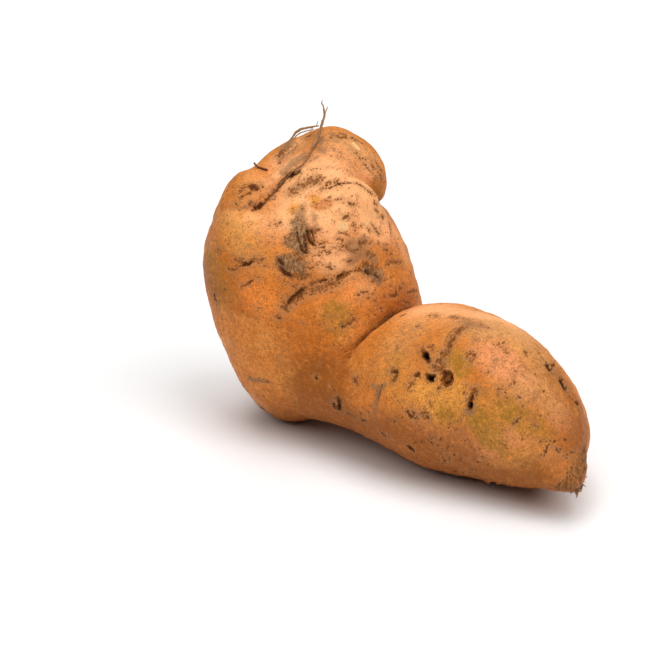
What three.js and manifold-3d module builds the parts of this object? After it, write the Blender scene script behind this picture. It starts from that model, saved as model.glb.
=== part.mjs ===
// A knobbly sweet potato, whole, as dug: one tall lobe with a knob on its crown
// and one side lobe that lies along the ground and tapers to a tail.
// Millimetres, +Z up. X runs along the longest side, towards the side lobe;
// -Y is the front. The resting surface is z = 0.
import * as THREE from 'three';
import { mergeVertices, mergeGeometries } from 'three/addons/utils/BufferGeometryUtils.js';
import Module from 'manifold-3d';

const wasm = await Module();
wasm.setup();

// ---------------------------------------------------------------- driving dimensions
const CELL = 5;            // size of the surface facets on the tuber
const REST_Z = 3.2;          // height at which the underside is flat against the ground
const FLAT_BAND = 0.25;      // skin this close to the ground is flat too
const ROOTLET_R = 0.55;      // radius of a dried rootlet
const ROOTLET_GAP = 0.35;    // clear space between a rootlet and the skin
const ROOTLET_SIDES = 8;

// Rounded masses that the tuber grew from: centre, half-axes, turn about x, y, z in degrees.
const MASS = {
  body_upper: { c: [-8.65, 32.15, 76.41], r: [41.34, 36.95, 31.77], a: [2.01, 3.08, 6.86] },
  body_middle: { c: [-1.62, 30.33, 51.33], r: [43.31, 35.7, 31.78], a: [-1.28, 9.02, 0.75] },
  body_base: { c: [-13.71, 38.99, 32.4], r: [22.22, 30.18, 30.78], a: [-0.07, -1.64, -5.33] },
  body_shoulder: { c: [-1.72, 28.01, 92.83], r: [19.65, 26.06, 22.25], a: [0.77, 22.48, -1.41] },
  bridge: { c: [9.22, 14.7, 36.19], r: [25.36, 21.32, 22.09], a: [-0.15, -0.36, 8.33] },
  knob_core: { c: [3.9, 33.31, 109.12], r: [13.66, 19.89, 21], a: [0.11, -9.34, -0.27] },
  knob_right: { c: [10.43, 35.48, 106.58], r: [14.64, 17.05, 16.68], a: [0.11, 7.03, -0.31] },
  crown_ridge: { c: [-9.9, 39.63, 102.02], r: [16.11, 18, 19.64], a: [-1.93, -22.26, -0.16] },
  left_shoulder: { c: [-30.93, 23.55, 96.93], r: [12.13, 13.83, 16.57], a: [1.93, 1.22, 2.78] },
  side_root: { c: [49.51, -7.87, 34.91], r: [39.22, 36.93, 31.69], a: [3.54, 9.44, -0.76] },
  side_belly: { c: [68.9, -23.36, 27.59], r: [34.32, 28.48, 19.78], a: [-3.19, 10.67, -28.88] },
  side_tip: { c: [72.15, -39.05, 40.39], r: [34.17, 20.98, 21.71], a: [39.2, 39.71, -44.91] },
  tail_end: { c: [86.94, -59.92, 22.02], r: [11.21, 9.83, 6.13], a: [-4.52, 17.23, -50.61] },
};

// Creases, folds and furrows: [x, y, z, depth] along a line on the skin; a ridge has a negative depth.
const GROOVES = [
  { name: 'lobe_crease', width: 4, line: [[40.5, 30, 56.4, 0.6], [39.2, 23.9, 58.7, 1.4], [37, 18, 60.4, 1.8], [35.4, 14.4, 60.5, 2], [30.3, -0.3, 63.6, 2.2], [26.6, -3.7, 62.6, 2.2], [23.4, -5.5, 61, 2.2], [19.8, -6.9, 58.3, 2.1], [16.3, -6.9, 54.9, 1.9], [13.9, -7.6, 52.3, 1.7], [11.5, -8.3, 49.1, 1.4], [9.1, -9.2, 45.6, 1], [7.2, -10.1, 42.6, 0.6], [4.4, -10.5, 39.3, 0]] },
  { name: 'knob_crease', width: 3.2, line: [[10.9, 57.5, 99.9, 0.6], [18.2, 50, 99.5, 1.5], [23.5, 41.1, 100.4, 2.2], [24.5, 33.1, 101.4, 2.8], [23.7, 28.7, 99.9, 3.2], [22.7, 25.5, 102.9, 3.4], [20.9, 22.3, 105.9, 3.4], [18, 19.4, 109.6, 3], [15.1, 17.7, 112.6, 2.6], [12.3, 16.4, 115.2, 2.1], [9.4, 15.6, 117.7, 1.5], [5.9, 14.7, 119.3, 0.9], [2, 15.6, 121.3, 0.55], [-0.8, 18.7, 123.8, 0.4], [-2.4, 22.7, 126, 0.1]] },
  { name: 'root_fold', width: 3.2, line: [[-26.9, 9.6, 102.9, 2.6], [-25, 10.8, 104.8, 2.6], [-22.6, 12.6, 107, 2.3], [-19.1, 14.8, 110.1, 2.1], [-16.3, 16.4, 112.7, 2], [-13.9, 17.5, 115.1, 2], [-11.5, 18.2, 117.2, 2], [-9.1, 18.4, 119, 1.9], [-7.2, 19.5, 121.1, 1.6], [-6, 20.8, 122.8, 1.2], [-4.4, 22.9, 125.2, 0.7], [-2.8, 25.1, 127.1, 0.2]] },
  { name: 'fold_ridge', width: 4.6, line: [[-26.6, 12.4, 107.1, -0.9], [-23.5, 14.7, 109.3, -1.5], [-19.5, 17.8, 112.5, -1.9], [-15.2, 19.8, 116.1, -1.9], [-10.8, 20.3, 119.3, -1.7], [-7.2, 21.7, 122.6, -0.8]] },
  { name: 'crown_hollow', width: 5, line: [[-24, 20.4, 113.5, 0.8], [-20.5, 23.5, 116, 2], [-17.7, 27.1, 119.1, 2.4], [-14.1, 29.1, 121.9, 2], [-10.1, 28.9, 124.2, 1.2], [-6, 27.8, 126.4, 0.3]] },
  { name: 'shoulder_line', width: 3.2, line: [[-42.6, 20, 100.9, 0.2], [-41.2, 17, 101.6, 0.6], [-37, 12.5, 102.9, 0.8], [-33.7, 10.6, 102.8, 0.9], [-30.1, 9.7, 102.7, 1], [-27.3, 9.4, 102.6, 1]] },
  { name: 'waist_band', width: 5.5, line: [[-23.4, -4.3, 66.2, 0], [-17.8, -5.9, 68.9, 0.4], [-12.6, -6.5, 71.6, 0.8], [-7.1, -6.4, 74.5, 0.9], [1.2, -5.1, 76.9, 0.9], [6.7, -3.2, 79.2, 0.9], [12.7, 0, 81.1, 0.9], [18.7, 4.3, 81.7, 0.8], [25.3, 10.5, 80.6, 0.6], [31.2, 18.3, 78, 0.2]] },
  { name: 'tip_ring', width: 3.2, line: [[97.6, -58.1, 27.1, 1.3], [95.2, -64.1, 29.4, 1.1], [92.4, -67.9, 31.1, 0.8], [89.5, -69.6, 32.3, 0.5], [86.5, -70.2, 33.3, 0]] },
  { name: 'back_furrow_middle', width: 6, line: [[-7.7, 62.3, 102.7, 0], [-4.1, 65.9, 91.4, 0.8], [-2.1, 69.3, 77.9, 1.3], [-5, 70.1, 62, 1.4], [-8.9, 71.2, 48.2, 1], [-9.6, 71, 35.6, 0]] },
  { name: 'back_furrow_left', width: 6.5, line: [[-39.7, 39.8, 97.8, 0], [-42.3, 50.2, 86.1, 0.7], [-39.9, 56, 70, 1.2], [-34.2, 60.3, 56, 1], [-27.2, 65.6, 41.9, 0]] },
  { name: 'back_furrow_right', width: 5.5, line: [[24, 49.5, 89.5, 0], [27.1, 52.9, 78.9, 0.8], [29.6, 53.8, 65.7, 1], [29, 56, 54, 0]] },
  { name: 'back_neck', width: 4, line: [[-21.3, 54.5, 109.5, 0.2], [-13.8, 59.3, 107.6, 1], [-1.8, 60.6, 107.1, 1.3], [9.9, 56.8, 105.8, 0.4]] },
  { name: 'side_furrow_upper', width: 5.5, line: [[50, 16.2, 56.2, 0], [64.1, 12.2, 56.6, 0.7], [79.8, 4.3, 52.3, 0.9], [91.6, -8.1, 45.8, 0.8], [97.6, -21.9, 39.9, 0]] },
  { name: 'side_furrow_lower', width: 5, line: [[58.7, 23.7, 34.2, 0], [70.4, 20.1, 29.3, 0.6], [83.9, 11, 23.4, 0.8], [94.4, -2.7, 20, 0]] },
  { name: 'left_furrow', width: 6, line: [[-50.1, 27.9, 69.9, 0], [-48.3, 33, 58.1, 0.7], [-45.1, 37.8, 46.2, 0.8], [-41, 42.2, 35.7, 0]] },
];

// Single pits (positive depth) and swellings (negative depth).
const PITS = [
  { at: [-27.7, 9.8, 103.3], depth: 0.8, radius: 3 },
  { at: [-30, 19.2, 113], depth: -1.4, radius: 7 },
  { at: [-31, 14.6, 109.7], depth: 0.9, radius: 4 },
  { at: [92.6, -71.3, 25], depth: -1.2, radius: 6.5 },
  { at: [-23.7, 65.3, 83.8], depth: 1, radius: 5.5 },
  { at: [14.6, 65.1, 70.1], depth: -1.2, radius: 11 },
  { at: [12.8, 65.9, 58], depth: 0.9, radius: 4 },
  { at: [-30.8, 63.1, 60], depth: -1, radius: 10 },
  { at: [72.7, 16.8, 44.2], depth: 0.9, radius: 4 },
  { at: [60.6, 20.3, 47], depth: -1, radius: 10 },
  { at: [98.3, -7.9, 32.5], depth: 0.8, radius: 3.5 },
];

const COLOURS = {
  skin: 0xc9793f,
  rootlet: 0x8a5a34,
  stub: 0x4a3020,
  tail: 0x7a4f2c,
};

// ---------------------------------------------------------------- the skin as a field
// Negative inside, positive outside, close to a distance in millimetres.
for (const m of Object.values(MASS)) {
  const e = new THREE.Euler(...m.a.map(THREE.MathUtils.degToRad), 'ZYX');
  m.m = new THREE.Matrix3().setFromMatrix4(new THREE.Matrix4().makeRotationFromEuler(e)).transpose().elements;
}

function mass(m, x, y, z) {
  const dx = x - m.c[0], dy = y - m.c[1], dz = z - m.c[2], e = m.m;
  const qx = e[0] * dx + e[3] * dy + e[6] * dz;
  const qy = e[1] * dx + e[4] * dy + e[7] * dz;
  const qz = e[2] * dx + e[5] * dy + e[8] * dz;
  const k0 = Math.hypot(qx / m.r[0], qy / m.r[1], qz / m.r[2]);
  const k1 = Math.hypot(qx / m.r[0] ** 2, qy / m.r[1] ** 2, qz / m.r[2] ** 2);
  return k0 * (k0 - 1) / Math.max(k1, 1e-9);
}

function blend(a, b, k) {
  const h = Math.max(k - Math.abs(a - b), 0) / k;
  return Math.min(a, b) - h * h * k * 0.25;
}

function step(x, a, b) {
  const t = Math.min(Math.max((x - a) / (b - a), 0), 1);
  return t * t * (3 - 2 * t);
}

function groove(g, x, y, z) {
  let best = 1e9, depth = 0;
  const reach = 3 * g.width;
  if (x < g.lo[0] - reach || y < g.lo[1] - reach || z < g.lo[2] - reach) return 0;
  if (x > g.hi[0] + reach || y > g.hi[1] + reach || z > g.hi[2] + reach) return 0;
  for (let i = 0; i + 1 < g.line.length; i++) {
    const a = g.line[i], b = g.line[i + 1];
    const ux = b[0] - a[0], uy = b[1] - a[1], uz = b[2] - a[2];
    let t = ((x - a[0]) * ux + (y - a[1]) * uy + (z - a[2]) * uz) / (ux * ux + uy * uy + uz * uz);
    t = Math.min(Math.max(t, 0), 1);
    const d = Math.hypot(x - a[0] - t * ux, y - a[1] - t * uy, z - a[2] - t * uz);
    if (d < best) { best = d; depth = a[3] + (b[3] - a[3]) * t; }
  }
  return depth * Math.exp(-((best / g.width) ** 2));
}
for (const g of GROOVES) {
  g.lo = [0, 1, 2].map((i) => Math.min(...g.line.map((p) => p[i])));
  g.hi = [0, 1, 2].map((i) => Math.max(...g.line.map((p) => p[i])));
}

function skin(x, y, z) {
  const e = (n) => mass(MASS[n], x, y, z);
  // the tall lobe with its left shoulder
  let tall = blend(e('body_upper'), e('body_middle'), 18);
  tall = blend(tall, e('body_base'), 20);
  tall = blend(tall, e('body_shoulder'), 14);
  tall = blend(tall, e('bridge'), 16);
  tall = blend(tall, e('left_shoulder'), 9);
  // the knob on the crown: it folds sharply against the tall lobe on the right and melts into it on the left
  let knob = blend(e('knob_core'), e('knob_right'), 10);
  knob = blend(knob, e('crown_ridge'), 14);
  const upper = blend(tall, knob, 16 - 9 * step(x, 2, 20));
  // the side lobe: a sharp fold above, one smooth skin below
  let side = blend(e('side_root'), e('side_belly'), 20);
  side = blend(side, e('side_tip'), 18);
  side = blend(side, e('tail_end'), 9);
  let f = blend(upper, side, 9 + 21 * step(z, 50, 25));
  for (const g of GROOVES) f += groove(g, x, y, z);
  for (const p of PITS) {
    const d2 = (x - p.at[0]) ** 2 + (y - p.at[1]) ** 2 + (z - p.at[2]) ** 2;
    if (d2 < 9 * p.radius * p.radius) f += p.depth * Math.exp(-d2 / (p.radius * p.radius));
  }
  return f;
}

function gradient(x, y, z, e = 0.35) {
  return [
    (skin(x + e, y, z) - skin(x - e, y, z)) / (2 * e),
    (skin(x, y + e, z) - skin(x, y - e, z)) / (2 * e),
    (skin(x, y, z + e) - skin(x, y, z - e)) / (2 * e),
  ];
}

// The nearest place on the skin, lifted off it by a height.
function onSkin(p, lift = 0) {
  let [x, y, z] = p;
  for (let i = 0; i < 14; i++) {
    const g = gradient(x, y, z), n = Math.hypot(...g), s = 0.8 * (skin(x, y, z) - lift) / Math.max(n, 0.4) / Math.max(n, 0.4);
    x -= s * g[0]; y -= s * g[1]; z -= s * g[2];
  }
  return new THREE.Vector3(x, y, z);
}

// ---------------------------------------------------------------- field to closed mesh (surface nets)
function netted(lo, hi, h) {
  const n = [0, 1, 2].map((i) => Math.ceil((hi[i] - lo[i]) / h) + 1);
  const at = (i, j, k) => (i * n[1] + j) * n[2] + k;
  const v = new Float64Array(n[0] * n[1] * n[2]);
  for (let i = 0; i < n[0]; i++) for (let j = 0; j < n[1]; j++) for (let k = 0; k < n[2]; k++)
    v[at(i, j, k)] = skin(lo[0] + i * h, lo[1] + j * h, lo[2] + k * h);
  const id = new Int32Array(v.length).fill(-1);
  const pos = [];
  for (let i = 0; i + 1 < n[0]; i++) for (let j = 0; j + 1 < n[1]; j++) for (let k = 0; k + 1 < n[2]; k++) {
    let sx = 0, sy = 0, sz = 0, c = 0;
    for (let e = 0; e < 12; e++) {
      const ax = e >> 2, b1 = e & 1, b2 = (e >> 1) & 1;
      const a = [0, 0, 0]; a[(ax + 1) % 3] = b1; a[(ax + 2) % 3] = b2;
      const b = a.slice(); b[ax] = 1;
      const fa = v[at(i + a[0], j + a[1], k + a[2])], fb = v[at(i + b[0], j + b[1], k + b[2])];
      if ((fa < 0) === (fb < 0)) continue;
      const t = fa / (fa - fb);
      sx += a[0] + (b[0] - a[0]) * t; sy += a[1] + (b[1] - a[1]) * t; sz += a[2] + (b[2] - a[2]) * t; c++;
    }
    if (!c) continue;
    let p = [lo[0] + h * (i + sx / c), lo[1] + h * (j + sy / c), lo[2] + h * (k + sz / c)];
    for (let s = 0; s < 3; s++) {
      const f = skin(...p), g = gradient(...p), g2 = Math.max(g[0] ** 2 + g[1] ** 2 + g[2] ** 2, 0.3);
      const m = Math.min(Math.max(f, -0.5), 0.5) / g2;
      p = [p[0] - m * g[0], p[1] - m * g[1], p[2] - m * g[2]];
    }
    id[at(i, j, k)] = pos.length / 3;
    pos.push(...p);
  }
  const tri = [];
  const quad = (a, b, c, d) => {
    const P = (q) => new THREE.Vector3(pos[3 * q], pos[3 * q + 1], pos[3 * q + 2]);
    if (P(a).distanceTo(P(c)) <= P(b).distanceTo(P(d))) tri.push(a, b, c, a, c, d);
    else tri.push(a, b, d, b, c, d);
  };
  for (let ax = 0; ax < 3; ax++) {
    const u = (ax + 1) % 3, w = (ax + 2) % 3;
    for (let i = 0; i < n[0]; i++) for (let j = 0; j < n[1]; j++) for (let k = 0; k < n[2]; k++) {
      const q = [i, j, k];
      if (q[ax] + 1 >= n[ax] || q[u] < 1 || q[w] < 1 || q[u] + 1 >= n[u] || q[w] + 1 >= n[w]) continue;
      const r = q.slice(); r[ax]++;
      const a = v[at(...q)] < 0, b = v[at(...r)] < 0;
      if (a === b) continue;
      const c = (du, dw) => { const s = q.slice(); s[u] -= du; s[w] -= dw; return id[at(...s)]; };
      const f = [c(1, 1), c(0, 1), c(0, 0), c(1, 0)];
      if (a) quad(...f); else quad(...f.reverse());
    }
  }
  return { pos: new Float32Array(pos), tri: new Uint32Array(tri) };
}

// ---------------------------------------------------------------- solids
function solid(pos, tri) {
  return new wasm.Manifold(new wasm.Mesh({ numProp: 3, vertProperties: pos, triVerts: tri }));
}

function solidOf(geometry) {
  const g = geometry.index ? geometry.clone() : geometry;
  g.deleteAttribute('normal'); g.deleteAttribute('uv');
  const m = mergeVertices(g, 1e-4);
  return solid(new Float32Array(m.attributes.position.array), new Uint32Array(m.index.array));
}

function geometryOf(manifold) {
  const m = manifold.getMesh(), g = new THREE.BufferGeometry();
  const p = new Float32Array(m.numVert * 3);
  for (let i = 0; i < m.numVert; i++) for (let j = 0; j < 3; j++) p[3 * i + j] = m.vertProperties[i * m.numProp + j];
  g.setAttribute('position', new THREE.BufferAttribute(p, 3));
  g.setIndex(new THREE.BufferAttribute(new Uint32Array(m.triVerts), 1));
  g.computeVertexNormals();
  return g;
}

// A closed round strand along points, tapering from one radius to another.
function strand(points, r0, r1, steps, sides = ROOTLET_SIDES) {
  const curve = new THREE.CatmullRomCurve3(points, false, 'centripetal');
  const ring = new THREE.Shape();
  for (let i = 0; i <= sides; i++) {
    const a = 2 * Math.PI * i / sides;
    if (i === 0) ring.moveTo(Math.cos(a), Math.sin(a)); else if (i < sides) ring.lineTo(Math.cos(a), Math.sin(a));
  }
  ring.closePath();
  const g = new THREE.ExtrudeGeometry(ring, { extrudePath: curve, steps, bevelEnabled: false });
  // scale each ring about its centre on the curve
  const p = g.attributes.position, centre = [];
  for (let s = 0; s <= steps; s++) centre.push(curve.getPointAt(s / steps));
  const v = new THREE.Vector3();
  for (let i = 0; i < p.count; i++) {
    v.fromBufferAttribute(p, i);
    let best = 0, bd = 1e9;
    for (let s = 0; s <= steps; s++) {
      const d = Math.abs(v.distanceTo(centre[s]) - 1);
      if (d < bd - 1e-5) { bd = d; best = s; }
    }
    const r = r0 + (r1 - r0) * best / steps;
    v.sub(centre[best]).multiplyScalar(r).add(centre[best]);
    p.setXYZ(i, v.x, v.y, v.z);
  }
  return solidOf(g);
}

// ---------------------------------------------------------------- the tuber
const net = netted([-62, -84, -6], [114, 86, 140], CELL);
// the underside is flat where it rests
for (let i = 2; i < net.pos.length; i += 3) if (net.pos[i] < REST_Z + FLAT_BAND) net.pos[i] = REST_Z;
const tuber = solid(net.pos, net.tri);

// ---------------------------------------------------------------- rootlets
// Each strand starts just clear of the skin; the lift is larger where it lies in a fold.
const V = (x, y, z) => new THREE.Vector3(x, y, z);
const clear = ROOTLET_R + ROOTLET_GAP;

// The long dried rootlet: out of the pit on the left shoulder, up the fold, free above the crown, forked.
const longRoot = strand([
  onSkin([-26.9, 9.4, 103.0], clear + 1.4), onSkin([-24.6, 10.8, 105.2], clear + 2.1), onSkin([-22.4, 12.4, 107.2], clear + 1.7),
  onSkin([-19.1, 14.8, 110.1], clear + 1.3), onSkin([-16.3, 16.4, 112.7], clear + 1.3), onSkin([-13.9, 17.5, 115.1], clear + 1.3),
  onSkin([-11.5, 18.2, 117.2], clear + 1.2), onSkin([-9.1, 18.4, 119.0], clear + 1.2), onSkin([-7.2, 19.5, 121.1], clear + 1.5),
  onSkin([-6.0, 20.8, 122.8], clear + 1.5), onSkin([-4.4, 22.4, 125.0], clear + 1.3), onSkin([-3.0, 24.0, 127.0], clear + 0.9),
  V(-2.2, 24.6, 130.0), V(-1.7, 24.6, 132.0), V(-1.1, 24.6, 134.3), V(-0.2, 24.3, 137.1),
  V(-0.4, 23.6, 139.4), V(-0.6, 23.0, 141.2), V(-1.3, 22.3, 143.0), V(-0.8, 22.0, 144.3),
], ROOTLET_R * 1.15, ROOTLET_R * 0.55, 44)
  .add(strand([V(-0.5, 24.45, 136.2), V(0.1, 24.5, 138.2), V(1.1, 25.0, 140.7)], ROOTLET_R * 0.8, ROOTLET_R * 0.5, 5));

// The arched rootlet: out of the hollow behind the fold, over in a low arch to the crown, with a hooked side shoot.
const archedRoot = strand([
  onSkin([-18.4, 29.4, 119.4], clear + 0.1), onSkin([-17.4, 28.6, 121.0], clear + 1.2), V(-16.3, 28.0, 123.9), V(-13.7, 28.4, 127.4),
  V(-10.8, 28.6, 130.0), V(-9.1, 28.2, 131.0), V(-5.9, 27.2, 131.9), V(-3.9, 26.6, 132.4),
], ROOTLET_R * 1.1, ROOTLET_R * 0.75, 20)
  .add(strand([V(-15.2, 28.25, 125.4), V(-13.6, 27.4, 126.6), V(-12.0, 26.4, 126.3), V(-11.9, 25.6, 124.9), V(-13.2, 24.6, 123.6)],
    ROOTLET_R * 0.8, ROOTLET_R * 0.6, 10))
  .add(strand([V(-6.2, 27.25, 131.85), V(-6.8, 26.6, 130.9), V(-7.4, 26.0, 130.2)], ROOTLET_R * 0.7, ROOTLET_R * 0.5, 3))
  .add(strand([V(-4.9, 26.9, 132.2), V(-4.6, 26.7, 133.4), V(-4.3, 26.5, 134.6)], ROOTLET_R * 0.7, ROOTLET_R * 0.5, 3));

// A short dark stub of a broken root on the left shoulder.
const stub = strand([
  onSkin([-24.4, 26.2, 115.1], clear - 0.05), onSkin([-26.0, 26.6, 115.2], clear + 0.7), V(-27.8, 26.8, 116.9), V(-28.9, 26.9, 118.0),
], ROOTLET_R * 1.5, ROOTLET_R * 1.2, 6);

// The frayed end of the tail root.
const tip = onSkin([94.2, -67.5, 16.6], clear - 0.05);
const tail = strand([tip, V(tip.x - 0.2, tip.y - 0.9, tip.z - 1.5), V(tip.x + 0.2, tip.y - 1.4, tip.z - 3.0), V(tip.x - 0.4, tip.y - 1.6, tip.z - 4.2)],
  ROOTLET_R * 1.6, ROOTLET_R * 0.7, 6)
  .add(strand([tip, V(tip.x + 1.4, tip.y - 0.4, tip.z - 0.3), V(tip.x + 3.2, tip.y + 0.2, tip.z - 0.9)], ROOTLET_R * 1.3, ROOTLET_R * 0.6, 5))
  .add(strand([tip, V(tip.x - 1.0, tip.y - 0.6, tip.z - 1.0), V(tip.x - 2.0, tip.y - 0.6, tip.z - 2.3)], ROOTLET_R * 1.2, ROOTLET_R * 0.6, 5));

const group = new THREE.Group();
const frame = new THREE.Group();
group.add(frame);

function add(name, manifold, colour, roughness) {
  const mesh = new THREE.Mesh(geometryOf(manifold), new THREE.MeshStandardMaterial({ color: colour, roughness, metalness: 0 }));
  mesh.name = name;
  frame.add(mesh);
  return mesh;
}

add('tuber', tuber, COLOURS.skin, 0.62);
add('rootlet_long', longRoot, COLOURS.rootlet, 0.85);
add('rootlet_arched', archedRoot, COLOURS.rootlet, 0.85);
add('root_stub', stub, COLOURS.stub, 0.9);
add('tail_rootlets', tail, COLOURS.tail, 0.9);

// ---------------------------------------------------------------- origin under the middle of the box
const box = new THREE.Box3().setFromObject(frame);
frame.position.set(-(box.min.x + box.max.x) / 2, -(box.min.y + box.max.y) / 2, -REST_Z);

export default group;
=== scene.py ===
# A knobbly sweet potato: fine skin, scars, soil stains and dried rootlets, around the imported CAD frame.
import bpy, bmesh, math
import numpy as np
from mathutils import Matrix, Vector


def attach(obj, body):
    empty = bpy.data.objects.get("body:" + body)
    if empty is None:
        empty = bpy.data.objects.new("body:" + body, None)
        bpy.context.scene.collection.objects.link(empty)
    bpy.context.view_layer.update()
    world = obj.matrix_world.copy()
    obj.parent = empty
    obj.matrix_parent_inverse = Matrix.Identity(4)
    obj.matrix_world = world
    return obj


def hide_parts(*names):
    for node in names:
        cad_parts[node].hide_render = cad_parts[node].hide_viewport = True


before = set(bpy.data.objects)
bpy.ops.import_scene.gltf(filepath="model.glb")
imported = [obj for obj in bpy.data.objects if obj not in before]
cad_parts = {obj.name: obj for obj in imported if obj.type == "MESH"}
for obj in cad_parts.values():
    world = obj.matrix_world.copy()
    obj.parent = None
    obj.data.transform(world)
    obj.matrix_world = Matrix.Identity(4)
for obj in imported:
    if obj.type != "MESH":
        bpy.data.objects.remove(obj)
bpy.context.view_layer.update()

# ------------------------------------------------------------------ shape data (mm, modelling frame)
ORIGIN = np.array([26.122, 0.223, 3.2])      # the row's origin, seen from the modelling frame
FLOOR = 3.2                                   # height of the resting surface in the modelling frame


def row(p):
    """modelling frame, mm -> row frame, m"""
    return (np.asarray(p, float) - ORIGIN) / 1000.0


MASS = {   # name: centre, half-axes, turn about x, y, z in degrees
    'body_upper': ((-8.65, 32.15, 76.41), (41.34, 36.95, 31.77), (2.01, 3.08, 6.86)),
    'body_middle': ((-1.62, 30.33, 51.33), (43.31, 35.7, 31.78), (-1.28, 9.02, 0.75)),
    'body_base': ((-13.71, 38.99, 32.4), (22.22, 30.18, 30.78), (-0.07, -1.64, -5.33)),
    'body_shoulder': ((-1.72, 28.01, 92.83), (19.65, 26.06, 22.25), (0.77, 22.48, -1.41)),
    'bridge': ((9.22, 14.7, 36.19), (25.36, 21.32, 22.09), (-0.15, -0.36, 8.33)),
    'knob_core': ((3.9, 33.31, 109.12), (13.66, 19.89, 21), (0.11, -9.34, -0.27)),
    'knob_right': ((10.43, 35.48, 106.58), (14.64, 17.05, 16.68), (0.11, 7.03, -0.31)),
    'crown_ridge': ((-9.9, 39.63, 102.02), (16.11, 18, 19.64), (-1.93, -22.26, -0.16)),
    'left_shoulder': ((-30.93, 23.55, 96.93), (12.13, 13.83, 16.57), (1.93, 1.22, 2.78)),
    'side_root': ((49.51, -7.87, 34.91), (39.22, 36.93, 31.69), (3.54, 9.44, -0.76)),
    'side_belly': ((68.9, -23.36, 27.59), (34.32, 28.48, 19.78), (-3.19, 10.67, -28.88)),
    'side_tip': ((72.15, -39.05, 40.39), (34.17, 20.98, 21.71), (39.2, 39.71, -44.91)),
    'tail_end': ((86.94, -59.92, 22.02), (11.21, 9.83, 6.13), (-4.52, 17.23, -50.61)),
}
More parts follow.
